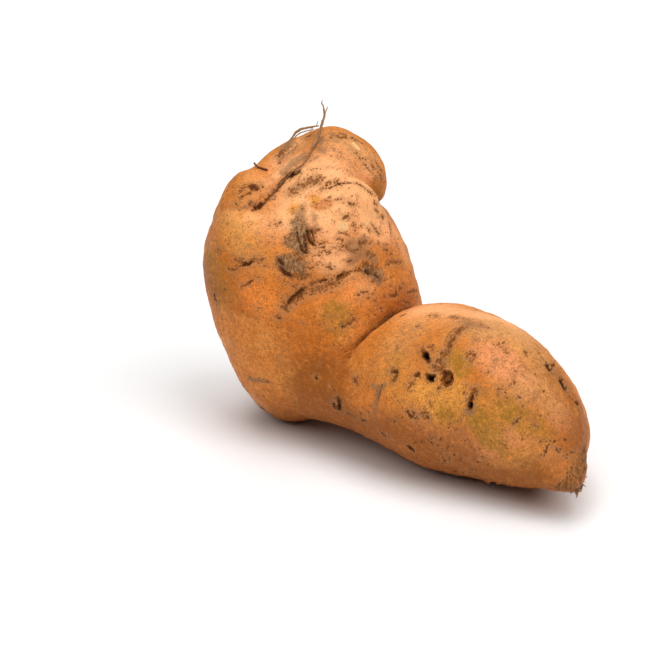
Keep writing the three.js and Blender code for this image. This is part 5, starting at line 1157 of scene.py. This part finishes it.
# ------------------------------------------------------------------ skin
g = Graph("skin")
A = {k: g.attr(k) for k in ('scar', 'aura', 'dark', 'torn', 'crack', 'band', 'hole', 'pit', 'pale', 'wart', 'dirt', 'tail', 'fold',
                            'ember_highlight_and_shade', 'peach_and_highlight', 'gold', 'tan', 'olive', 'pink', 'rust_and_shade', 'painted_shade', 'dots')}
grain = g.attr('grain', 'Vector')
n12 = g.noise(12, 3, 0.6)
n5 = g.noise(5.0, 3, 0.6, shift=(31, 7, 3))
n2_ = g.noise(2.0, 3, 0.6, shift=(3, 70, 9))
n08 = g.noise(0.8, 2, 0.6, shift=(13, 17, 29))
n04 = g.noise(0.42, 1, 0.5, shift=(5, 1, 2))
lines = g.noise(1.0, 3, 0.65, vec=g.vec('MULTIPLY', grain, (1.1, 0.16, 0.16)))
brush = g.noise(1.0, 2, 0.6, vec=g.vec('MULTIPLY', grain, (2.2, 0.22, 0.22)))
wob = g.add(g.mul(g.add(n5, -0.5), 0.9), g.mul(g.add(n2_, -0.5), 0.5))      # about -0.4..0.4


def toned(a, lo=0.1, hi=0.75, w=0.9):
    return g.fit(g.add(a, g.mul(wob, w)), lo, hi)


light_skin_and_highlight = g.fit(A['peach_and_highlight'], 0.1, 1.0, 1.0, 0.22)          # the light peach skin, partly painted highlight, is less mottled
col = g.mix(g.fit(n12, 0.35, 0.68), (0.66, 0.205, 0.030), (0.76, 0.275, 0.056))
# light peach skin: partly the skin's own tone, partly painted highlight on the top-lit upper surfaces
col = g.mix(toned(A['peach_and_highlight'], 0.05, 0.95), col, (1.0, 0.460, 0.196))
# red-brown skin: partly the skin's own tone, partly painted shade on the lower and left sides
col = g.mix(g.mul(toned(A['rust_and_shade'], 0.05, 0.95), 0.9), col, (0.55, 0.142, 0.012))
# bright saturated orange: partly the skin's own tone, partly painted highlight and painted shade low on the tall
# lobe
col = g.mix(toned(A['ember_highlight_and_shade'], 0.05, 0.95), col, (0.92, 0.262, 0.040))
col = g.mix(g.mul(toned(A['pink'], 0.05, 1.0), 0.9), col, (0.84, 0.310, 0.125))
col = g.mix(g.mul(toned(A['gold'], 0.05, 0.95), 0.9), col, (0.86, 0.350, 0.058))
col = g.mix(g.mul(toned(A['tan'], 0.05, 0.95), 0.85), col, (0.62, 0.290, 0.098))
ol = g.mul(toned(A['olive'], 0.10, 0.95, 0.8), g.fit(n2_, 0.30, 0.60, 0.60, 1.0))
col = g.mix(g.mul(ol, 0.92), col, g.mix(g.fit(n5, 0.4, 0.65), (0.36, 0.180, 0.015), (0.50, 0.225, 0.030)))
# painted shade: dark brown where the shade patches lie, under the body, low on the lobes and in the creases
col = g.mix(g.mul(toned(A['painted_shade'], 0.0, 1.2), 0.8), col, (0.235, 0.060, 0.004))
# mottling
col = g.mix(g.mul(g.fit(n5, 0.50, 0.72), g.mul(light_skin_and_highlight, 0.42)), col, (0.49, 0.155, 0.026))
col = g.mix(g.mul(g.fit(n2_, 0.52, 0.75), g.mul(light_skin_and_highlight, 0.38)), col, (0.47, 0.155, 0.032))
col = g.mix(g.mul(g.fit(n2_, 0.48, 0.26), 0.18), col, (0.92, 0.37, 0.085))
col = g.mix(g.mul(g.fit(lines, 0.54, 0.72), g.mul(light_skin_and_highlight, 0.32)), col, (0.42, 0.150, 0.040))
col = g.mix(g.mul(g.fit(n08, 0.52, 0.72), g.mul(light_skin_and_highlight, 0.40)), col, (0.42, 0.140, 0.028))
col = g.mix(g.mul(g.fit(n08, 0.47, 0.28), 0.12), col, (0.92, 0.38, 0.10))
col = g.mix(g.mul(g.fit(n04, 0.44, 0.72), g.fit(A['peach_and_highlight'], 0.1, 1.0, 0.48, 0.24)), col, (0.33, 0.115, 0.032))
fine = g.add(g.mul(g.add(n08, -0.5), 1.6), g.add(g.mul(g.add(n04, -0.5), 1.0), g.mul(g.add(n2_, -0.5), 1.8)))
fine = g.mul(fine, g.fit(A['peach_and_highlight'], 0.1, 1.0, 1.0, 0.30))
# painted highlight: the light peach skin is brightened a little more
fine = g.add(g.mul(fine, -0.26), g.fit(A['peach_and_highlight'], 0.4, 1.1, 1.01, 1.09))
col = g.vec('MINIMUM', g.vec('MULTIPLY', col, g.m('MAXIMUM', fine, 0.45)), (1.0, 1.0, 1.0))
col = g.mix(g.mul(g.fit(n04, 0.46, 0.25), g.fit(A['peach_and_highlight'], 0.0, 0.9, 0.05, 0.20)), col, (1.0, 0.52, 0.24))

# soil film: speckled, grey-brown
film = g.fit(g.add(g.add(A['dirt'], g.mul(g.add(n2_, -0.5), 0.9)), g.mul(g.add(n08, -0.5), 0.7)), 0.28, 0.80)
filmc = g.mix(g.fit(n08, 0.35, 0.65), (0.20, 0.098, 0.040), (0.42, 0.225, 0.108))
col = g.mix(g.mul(film, g.fit(A['painted_shade'], 0.1, 0.8, 0.72, 0.30)), col, filmc)
# fine grey dust in speckled patches everywhere
dust = g.mul(g.fit(n5, 0.56, 0.74), g.fit(n08, 0.48, 0.62))
col = g.mix(g.mul(dust, 0.35), col, (0.36, 0.235, 0.145))

# stippling: 1 in the middle of each small cell, 0 at its rim
sd, scol = g.voronoi(1.0, g.vec('MULTIPLY', grain, (1 / 0.95, 1 / 1.25, 1 / 1.25)))
stip = g.fit(sd, 0.62, 0.12, -0.5, 0.5, False)
stip = g.add(stip, g.mul(g.add(g.channel(scol, 0), -0.5), 0.7))
stip = g.add(stip, g.mul(g.add(n04, -0.5), 0.6))

# brushed bands
bm_ = g.fit(g.add(g.mul(A['band'], 1.1), g.add(g.mul(g.add(brush, -0.5), 1.7), g.mul(stip, 0.60))), 0.35, 0.90)
col = g.mix(g.mul(g.fit(A['band'], 0.0, 0.5), 0.38), col, (0.46, 0.185, 0.060))
col = g.mix(g.mul(bm_, 0.85), col, g.mix(g.fit(n04, 0.40, 0.65), (0.150, 0.038, 0.006), (0.40, 0.140, 0.032)))


def dotlayer(cell, r0, r1, dens, shift, stretch=0.62, wobble=0.28):
    d, c = g.voronoi(1.0, g.vec('MULTIPLY', g.vec('ADD', grain, shift), (1 / cell, stretch / cell, stretch / cell)))
    r = g.channel(c, 0)
    k = g.channel(c, 1)
    rad = g.add(r0 / cell, g.mul(g.mul(r, r), (r1 - r0) / cell))
    e = g.m('SUBTRACT', rad, g.add(d, g.mul(g.add(n04, -0.5), wobble)))
    on = g.m('LESS_THAN', k, dens)
    return g.mul(g.fit(e, -0.015, 0.07), on), r


d1, r1 = dotlayer(3.1, 0.2, 0.70, g.fit(A['dots'], 0.0, 1.0, 0.10, 0.80, False), (3, 5, 7))
d2, r2 = dotlayer(1.7, 0.16, 0.46, g.fit(A['dots'], 0.0, 1.0, 0.14, 0.72, False), (17, 2, 11))
d3, r3 = dotlayer(6.5, 0.4, 0.95, g.fit(A['dots'], 0.0, 1.0, 0.10, 0.45, False), (1, 23, 5), 0.5, 0.35)
d4, r4 = dotlayer(2.3, 0.14, 0.42, g.fit(n5, 0.35, 0.65, 0.18, 0.62, False), (9, 31, 2), 0.8, 0.2)
dots = g.m('MAXIMUM', g.m('MAXIMUM', d1, g.mul(d2, 0.8)), g.m('MAXIMUM', d3, g.mul(d4, 0.6)))
col = g.mix(g.mul(d4, 0.72), col, (0.23, 0.074, 0.018))
col = g.mix(g.mul(d2, 0.58), col, (0.17, 0.062, 0.022))
col = g.mix(g.mul(g.m('MAXIMUM', d1, d3), 0.80), col, g.mix(r1, (0.110, 0.032, 0.008), (0.28, 0.100, 0.026)))

# scars and torn, corky skin
rag = g.add(g.mul(g.add(n08, -0.5), 0.75), g.mul(g.add(n2_, -0.5), 0.35))
aur = g.fit(g.add(A['aura'], g.mul(rag, 0.7)), 0.12, 0.75)
col = g.mix(g.mul(aur, 0.42), col, g.mix(g.fit(n2_, 0.4, 0.6), (0.41, 0.165, 0.050), (0.47, 0.235, 0.108)))
scat = g.fit(g.add(g.mul(A['aura'], 0.9), g.mul(stip, 0.62)), 0.50, 0.74)
col = g.mix(g.mul(scat, 0.62), col, (0.260, 0.075, 0.013))
sc = g.fit(g.add(g.add(A['scar'], g.mul(rag, 0.95)), g.mul(stip, 0.30)), 0.40, 0.80)
scc = g.mix(g.fit(n04, 0.35, 0.65), (0.150, 0.040, 0.006), (0.36, 0.125, 0.028))
col = g.mix(g.mul(sc, 0.84), col, scc)
tn = g.fit(g.add(A['torn'], g.mul(rag, 1.4)), 0.15, 0.70)
strand = g.noise(1.0, 2, 0.6, vec=g.vec('MULTIPLY', g.mm, (1.5, 1.5, 0.42)), dist=0.6)
tnc = g.mix(g.fit(strand, 0.38, 0.62), (0.20, 0.085, 0.028), (0.50, 0.285, 0.142))
tnc = g.mix(g.mul(g.fit(n2_, 0.50, 0.72), 0.7), tnc, (0.24, 0.092, 0.028))
col = g.mix(g.mul(tn, 0.85), col, tnc)
dk = g.fit(g.add(A['dark'], g.mul(rag, 0.9)), 0.36, 0.78)
col = g.mix(g.mul(dk, 0.92), col, g.mix(g.fit(n04, 0.42, 0.72), (0.070, 0.019, 0.004), (0.27, 0.090, 0.020)))
ck = g.fit(g.add(g.add(A['crack'], g.mul(rag, 0.9)), g.mul(stip, 0.22)), 0.45, 0.85)
col = g.mix(g.mul(ck, 0.80), col, (0.150, 0.044, 0.009))
wt = g.fit(g.add(A['wart'], g.mul(rag, 0.8)), 0.25, 0.60)
col = g.mix(g.mul(wt, 0.8), col, g.mix(g.fit(n04, 0.4, 0.6), (0.12, 0.034, 0.007), (0.34, 0.125, 0.030)))
# marks inside the painted shade are darker still, as more painted shade
marks_in_painted_shade = g.m('MAXIMUM', g.m('MAXIMUM', sc, dk), g.m('MAXIMUM', ck, g.m('MAXIMUM', dots, g.mul(scat, 0.7))))
marks_in_painted_shade = g.mul(marks_in_painted_shade, g.fit(A['painted_shade'], 0.05, 0.7, 0.06, 0.66))
col = g.vec('MULTIPLY', col, g.m('SUBTRACT', 1.0, marks_in_painted_shade))
# pale chips
pl = g.fit(g.add(A['pale'], g.mul(rag, 0.5)), 0.30, 0.55)
col = g.mix(g.mul(pl, 0.92), col, g.mix(n08, (0.94, 0.62, 0.30), (0.84, 0.42, 0.15)))
# the open pit and the holes: dark rims and near-black insides, partly painted shade of their depth
pt = g.fit(g.add(A['pit'], g.mul(rag, 1.0)), 0.16, 0.52)
col = g.mix(g.mul(pt, 0.92), col, g.mix(g.fit(g.noise(1.5, 2, 0.6, shift=(2, 8, 4)), 0.42, 0.58), (0.085, 0.022, 0.004), (0.34, 0.105, 0.015)))
hb = g.fit(g.add(A['hole'], g.mul(rag, 0.9)), 0.02, 0.40)
col = g.mix(g.mul(hb, 0.85), col, (0.120, 0.034, 0.007))
hl = g.fit(g.add(A['hole'], g.mul(rag, 0.6)), 0.36, 0.66)
col = g.mix(hl, col, (0.026, 0.010, 0.004))
# painted shade: near-black in the creases between the lobes, under the knob and along the long rootlet's groove
crease_shade_mask = g.fit(g.add(A['fold'], g.mul(wob, 0.5)), 0.35, 1.0)
col = g.mix(g.mul(crease_shade_mask, 0.90), col, (0.055, 0.018, 0.007))
# tail end
tl = g.fit(g.add(A['tail'], g.mul(rag, 0.9)), 0.12, 0.55)
tlc = g.mix(g.fit(g.noise(1.0, 3, 0.6, vec=g.vec('MULTIPLY', g.mm, (1.3, 1.3, 0.3))), 0.4, 0.62), (0.105, 0.038, 0.012), (0.34, 0.140, 0.048))
col = g.mix(g.mul(tl, 0.8), col, tlc)
g.put(g.bsdf.inputs['Base Color'], col)

marks = g.m('MAXIMUM', g.m('MAXIMUM', sc, dk), g.m('MAXIMUM', tn, film))
rough = g.fit(n2_, 0.3, 0.7, 0.44, 0.60, False)
rough = g.add(rough, g.mul(marks, 0.22))
g.put(g.bsdf.inputs['Roughness'], g.m('MINIMUM', rough, 0.92))
g.bsdf.inputs['Specular IOR Level'].default_value = 0.10

hgt = g.add(g.mul(n08, 0.30), g.mul(lines, 0.35))
hgt = g.add(hgt, g.mul(n2_, 0.45))
hgt = g.add(hgt, g.mul(n04, 0.12))
hgt = g.add(hgt, g.mul(dots, -0.35))
hgt = g.add(hgt, g.mul(ck, -0.6))
hgt = g.add(hgt, g.mul(sc, g.mul(g.add(n04, -0.9), 0.8)))
hgt = g.add(hgt, g.mul(tn, g.mul(strand, 1.3)))
hgt = g.add(hgt, g.mul(bm_, g.mul(g.add(brush, -1.0), 0.6)))
g.put(g.bsdf.inputs['Normal'], g.bump(hgt, 0.00055, 1.0))
me.materials.append(g.mat)

# ------------------------------------------------------------------ dried rootlets
def curve(P, step=0.3):
    """smooth path through the points"""
    P = np.array(P, float)
    Pe = np.vstack([2 * P[0] - P[1], P, 2 * P[-1] - P[-2]])
    out = []
    for i in range(1, len(Pe) - 2):
        a, b, c, d = Pe[i - 1:i + 3]
        n = max(2, int(np.linalg.norm(c[:3] - b[:3]) / step))
        for t in np.arange(n) / n:
            out.append(0.5 * ((2 * b) + (c - a) * t + (2 * a - 5 * b + 4 * c - d) * t * t + (-a + 3 * b - 3 * c + d) * t ** 3))
    out.append(P[-1])
    return np.array(out)


def strand(P, seed, sides=12, flat=0.82, step=0.3, knots=0.16):
    """a closed, uneven, slightly flattened strand; P rows are x, y, z, radius"""
    C = curve(P, step)
    X, R = C[:, :3], np.maximum(C[:, 3], 0.05)
    X = X + 0.10 * np.stack([noise(X + 40 * k, 1.6, seed + k) for k in range(3)], 1)
    T = unit(np.gradient(X, axis=0))
    u = unit(np.cross(T[0], [0.3, 0.2, 1.0]))
    V_, F_ = [], []
    for i in range(len(X)):
        u = unit(u - (u @ T[i]) * T[i])
        w = np.cross(T[i], u)
        twist = 0.08 * i
        for k in range(sides):
            a = 2 * math.pi * k / sides
            q = np.array([[i * step * 0.7 + seed, math.cos(a) * 1.3, math.sin(a) * 1.3]])
            r = R[i] * (1 + knots * float(noise(q, 1.1, seed)[0]) + 0.10 * math.cos(3 * a + seed) + 0.07 * math.cos(5 * a + twist))
            c_, s_ = math.cos(a + twist), math.sin(a + twist)
            V_.append(X[i] + r * (c_ * u + flat * s_ * w))
    n = len(X)
    for i in range(n - 1):
        for k in range(sides):
            k2 = (k + 1) % sides
            F_.append([i * sides + k, i * sides + k2, (i + 1) * sides + k2, (i + 1) * sides + k])
    V_.append(X[0] - T[0] * R[0] * 0.5)
    V_.append(X[-1] + T[-1] * R[-1] * 0.8)
    for k in range(sides):
        k2 = (k + 1) % sides
        F_.append([n * sides, k2, k])
        F_.append([n * sides + 1, (n - 1) * sides + k, (n - 1) * sides + k2])
    along = np.concatenate([np.repeat(np.arange(n) * step, sides), [0, n * step]])
    return np.array(V_), F_, along


def piece(name, strands, material, replaces, dusty=0.0):
    VV, FF, AA, SS = [], [], [], []
    o = 0
    for i, (P, kw) in enumerate(strands):
        v, f, a = strand(P, 100 + 13 * i, **kw)
        VV.append(v)
        FF += [[j + o for j in q] for q in f]
        AA.append(a)
        o += len(v)
    v = np.concatenate(VV)
    m = bpy.data.meshes.new(name)
    m.from_pydata(row(v).tolist(), [], FF)
    m.update()
    m.polygons.foreach_set("use_smooth", [True] * len(m.polygons))
    at = m.attributes.new('along', 'FLOAT', 'POINT')
    at.data.foreach_set('value', np.concatenate(AA).astype(np.float32))
    # how close each place is to the skin: the fibre is painted darker there, as painted shade where it lies on the
    # skin
    near = np.clip(1 - body(v) / 2.2, 0, 1)
    at = m.attributes.new('near_skin', 'FLOAT', 'POINT')
    at.data.foreach_set('value', near.astype(np.float32))
    m.materials.append(material)
    ob = bpy.data.objects.new(name, m)
    bpy.context.scene.collection.objects.link(ob)
    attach(ob, "root")
    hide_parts(replaces)
    return ob


def fibre_material(name, light, mid, dark_, rough=0.75):
    g = Graph(name)
    al = g.attr('along')
    ns = g.attr('near_skin')
    n1 = g.noise(0.9, 3, 0.6)
    n2 = g.noise(0.25, 2, 0.6, shift=(4, 9, 2))
    n3 = g.noise(3.5, 2, 0.5, shift=(1, 2, 3))
    rings_ = g.noise(1.0, 1, 0.5, vec=g.vec('MULTIPLY', g.vec('ADD', g.mm, (0, 0, 0)), (0.6, 0.6, 2.6)))
    c = g.mix(g.fit(n1, 0.35, 0.65), mid, light)
    c = g.mix(g.mul(g.fit(n2, 0.45, 0.7), 0.6), c, dark_)
    c = g.mix(g.mul(g.fit(n3, 0.5, 0.7), 0.4), c, dark_)
    c = g.mix(g.mul(g.fit(rings_, 0.55, 0.7), 0.35), c, dark_)
    # painted shade where the fibre lies against the skin
    c = g.mix(g.mul(g.fit(ns, 0.35, 0.95), 0.40), c, dark_)
    g.put(g.bsdf.inputs['Base Color'], c)
    g.put(g.bsdf.inputs['Roughness'], g.fit(n1, 0.3, 0.7, rough - 0.1, rough + 0.12, False))
    g.bsdf.inputs['Specular IOR Level'].default_value = 0.25
    hh = g.add(g.mul(n2, 0.6), g.mul(n1, 0.5))
    g.put(g.bsdf.inputs['Normal'], g.bump(hh, 0.00018, 0.9))
    return g.mat


fibre = fibre_material("rootlet_fibre", (0.54, 0.30, 0.138), (0.37, 0.180, 0.075), (0.155, 0.066, 0.026))
darkf = fibre_material("stub_fibre", (0.30, 0.15, 0.07), (0.17, 0.075, 0.032), (0.06, 0.026, 0.013))
tailf = fibre_material("tail_fibre", (0.40, 0.20, 0.085), (0.26, 0.115, 0.045), (0.10, 0.042, 0.018))

on_skin = [(-26.9, 9.4, 103, .18), (-24.6, 10.8, 105.2, .19), (-22.4, 12.4, 107.2, .20), (-19.1, 14.8, 110.1, .21),
           (-16.3, 16.4, 112.7, .22), (-13.9, 17.5, 115.1, .25), (-11.5, 18.2, 117.2, .28), (-9.1, 18.4, 119, .32),
           (-7.2, 19.5, 121.1, .36), (-6, 20.8, 122.8, .42), (-4.6, 22.2, 124.8, .50), (-3.2, 24, 127, .62)]
sk = np.array(on_skin)
lifted = settle(sk[:, :3], 0.0, 6)
gn = unit(gradient(lifted, 0.4))
lifted = lifted + gn * np.array([.05, .10, .12, .15, .2, .3, .4, .5, .6, .75, .95, 1.1])[:, None]
lift_path = [(*lifted[i], sk[i, 3]) for i in range(len(sk))]
piece("rootlet_long_fine", [
    (lift_path + [(-2.2, 24.6, 130, .66), (-1.7, 24.6, 132, .62), (-1.1, 24.6, 134.3, .60), (-.2, 24.3, 137.1, .50),
                  (-.4, 23.6, 139.4, .42), (-.7, 23, 141.2, .33), (-1.4, 22.3, 142.8, .28), (-.9, 22, 143.9, .20)], dict(knots=.22)),
    ([(-.9, 24.5, 135.2, .20), (-.5, 24.45, 136.2, .28), (.1, 24.5, 138.2, .30), (.7, 24.8, 139.6, .24), (1.1, 25, 140.7, .15)], dict(sides=9)),
    ([(-2.6, 24.4, 129.2, .18), (-3.2, 23.8, 127.6, .22), (-4.6, 23.2, 126.4, .20), (-5.4, 22.3, 125.0, .14)], dict(sides=8)),
], fibre, "rootlet_long")

piece("rootlet_arched_fine", [
    ([(-18.6, 28.6, 119.2, .55), (-17.7, 27.6, 121.7, .66), (-16.3, 28, 123.6, .58), (-13.7, 28.6, 126.5, .44), (-12.2, 28.7, 128.6, .50),
      (-10.8, 28.6, 130, .56), (-9.1, 28.2, 130.9, .50), (-5.7, 27, 131.9, .42), (-2.6, 26, 132.6, .28)], dict(knots=.2)),
    ([(-19.0, 28.4, 119.6, .28), (-17.2, 27.0, 122.2, .30), (-14.9, 27.5, 124.4, .30), (-12.5, 28.1, 127.0, .30), (-10.3, 28.1, 129.0, .28),
      (-7.6, 27.6, 130.1, .26), (-4.6, 26.6, 131.1, .20)], dict(sides=8)),
    ([(-3.6, 26.4, 132.2, .16), (-3.2, 26.2, 133.4, .17), (-2.9, 26, 134.6, .11)], dict(sides=8)),
    ([(-4.7, 26.6, 132.1, .15), (-5.6, 26.0, 130.8, .16), (-6.2, 25.6, 129.7, .11)], dict(sides=8)),
    ([(-14.7, 28.4, 125.4, .26), (-12.8, 27.6, 125.7, .27), (-11.2, 26.8, 125.1, .27), (-11.7, 26.2, 123.9, .26), (-13.4, 25.6, 122.6, .24),
      (-15.2, 25.2, 121.2, .16)], dict(sides=8)),
    ([(-18.0, 27.6, 121.0, .14), (-19.6, 26.6, 120.4, .14), (-20.6, 25.9, 119.2, .10)], dict(sides=8)),
], fibre, "rootlet_arched")

piece("root_stub_fine", [
    ([(-28.5, 27, 117.2, .40), (-28.1, 27, 116.4, .50), (-27.3, 27, 115.7, .46), (-26.2, 26.6, 115.3, .46), (-24.6, 26, 115.0, .48), (-23.2, 25.4, 114.8, .40)], dict(knots=.25)),
    ([(-24.6, 26.2, 115.1, .22), (-25.6, 25.8, 114.3, .24), (-27.2, 25.4, 113.9, .18)], dict(sides=8)),
], darkf, "root_stub")

rng = np.random.default_rng(5)
tuft = [
    ([(93.2, -65.2, 17.6, .42), (94.0, -66.3, 16.6, .46), (93.9, -66.6, 15.6, .40), (94.2, -66.8, 14.4, .30), (93.8, -67.2, 13.4, .16)], dict(knots=.3)),
    ([(95.2, -63.6, 18.2, .32), (96.4, -64.2, 17.4, .30), (97.5, -64.4, 16.6, .16)], dict(sides=9)),
    ([(96.4, -61.6, 19.6, .30), (97.6, -62.0, 19.4, .26), (98.2, -62.2, 19.6, .15)], dict(sides=9)),
    ([(91.8, -65.8, 17.2, .50), (93.2, -66.6, 15.8, .44), (93.8, -67.0, 14.3, .24)], dict(knots=.3)),
    ([(94.8, -64.8, 17.4, .50), (94.6, -66.0, 16.0, .44), (94.3, -66.9, 14.8, .24)], dict(knots=.3)),
    ([(96.2, -64.0, 17.4, .44), (95.8, -65.6, 16.2, .38), (95.0, -66.7, 15.4, .20)], dict(knots=.3)),
    ([(90.4, -66.6, 17.6, .36), (91.8, -67.0, 16.6, .34), (92.6, -67.2, 15.8, .18)], dict(sides=9)),
    ([(91.6, -65.6, 17.0, .32), (92.0, -66.4, 16.2, .30), (91.6, -66.6, 15.0, .15)], dict(sides=9)),
]
seats = settle(np.array([[rng.uniform(89.8, 97.0), rng.uniform(-68, -60), rng.uniform(13.0, 18.5)] for _ in range(40)]), 0, 6)
gs = unit(gradient(seats, 0.4))
for i, (c, n) in enumerate(zip(seats, gs)):
    if n[1] > 0.5 or c[2] < 9.5:
        continue
    d = unit(0.6 * n + np.array([0.1, -0.5, -1.1]) + 0.35 * rng.normal(size=3))
    L = rng.uniform(0.5, 1.3)
    b = rng.normal(size=3) * 0.5
    r = rng.uniform(0.14, 0.26)
    tuft.append(([(*(c - n * 0.25), r * 1.15), (*(c + d * L * 0.4), r), (*(c + d * L * 0.75 + b * 0.5), r * 0.8), (*(c + d * L + b), r * 0.4)], dict(sides=7)))
piece("tail_tuft_fine", tuft, tailf, "tail_rootlets")

# ------------------------------------------------------------------ floor, light, camera
scene = bpy.context.scene
fm = bpy.data.meshes.new("floor")
bm = bmesh.new()
bmesh.ops.create_grid(bm, x_segments=2, y_segments=2, size=6.0)
bm.to_mesh(fm)
floor = bpy.data.objects.new("floor", fm)
scene.collection.objects.link(floor)
fg = Graph("floor")
pap = fg.noise(9.0, 3, 0.5)
fg.put(fg.bsdf.inputs['Base Color'], fg.mix(pap, (0.935, 0.935, 0.935), (0.945, 0.945, 0.945)))
fg.bsdf.inputs["Roughness"].default_value = 0.6
fg.bsdf.inputs["Specular IOR Level"].default_value = 0.2
fm.materials.append(fg.mat)


def sun(name, azimuth, elevation, strength, angle=45.0):
    """a wide, soft lamp; azimuth 0 is in front, 90 to the right"""
    li = bpy.data.lights.new(name, 'SUN')
    li.angle = math.radians(angle)
    li.energy = strength * math.pi
    o = bpy.data.objects.new(name, li)
    a, e = math.radians(azimuth), math.radians(elevation)
    d = Vector((math.sin(a) * math.cos(e), -math.cos(a) * math.cos(e), math.sin(e)))
    o.rotation_euler = (-d).to_track_quat('-Z', 'Y').to_euler()
    scene.collection.objects.link(o)
    return o


sun("overhead", 0, 90, 0.42)
sun("key", 45, 50, 0.50)
sun("left", -45, 50, 0.26)
sun("back", 180, 50, 0.16)
world = bpy.data.worlds.new("studio")
scene.world = world
world.use_nodes = True
bg = world.node_tree.nodes["Background"]
bg.inputs["Color"].default_value = (1, 1, 1, 1)
bg.inputs["Strength"].default_value = 0.08

scene.view_settings.view_transform = 'Standard'
scene.view_settings.look = 'None'

cam = bpy.data.cameras.new("camera")
cam.lens = 100.0
cam.sensor_width = 36.0
cam.clip_start, cam.clip_end = 0.05, 50.0
co = bpy.data.objects.new("camera", cam)
EL = math.radians(20.0)
co.location = row([0.0, -722.0 * math.cos(EL), 57.5 + 722.0 * math.sin(EL)])
co.rotation_euler = (math.pi / 2 - EL, 0, 0)
scene.collection.objects.link(co)
scene.camera = co

bpy.context.view_layer.update()
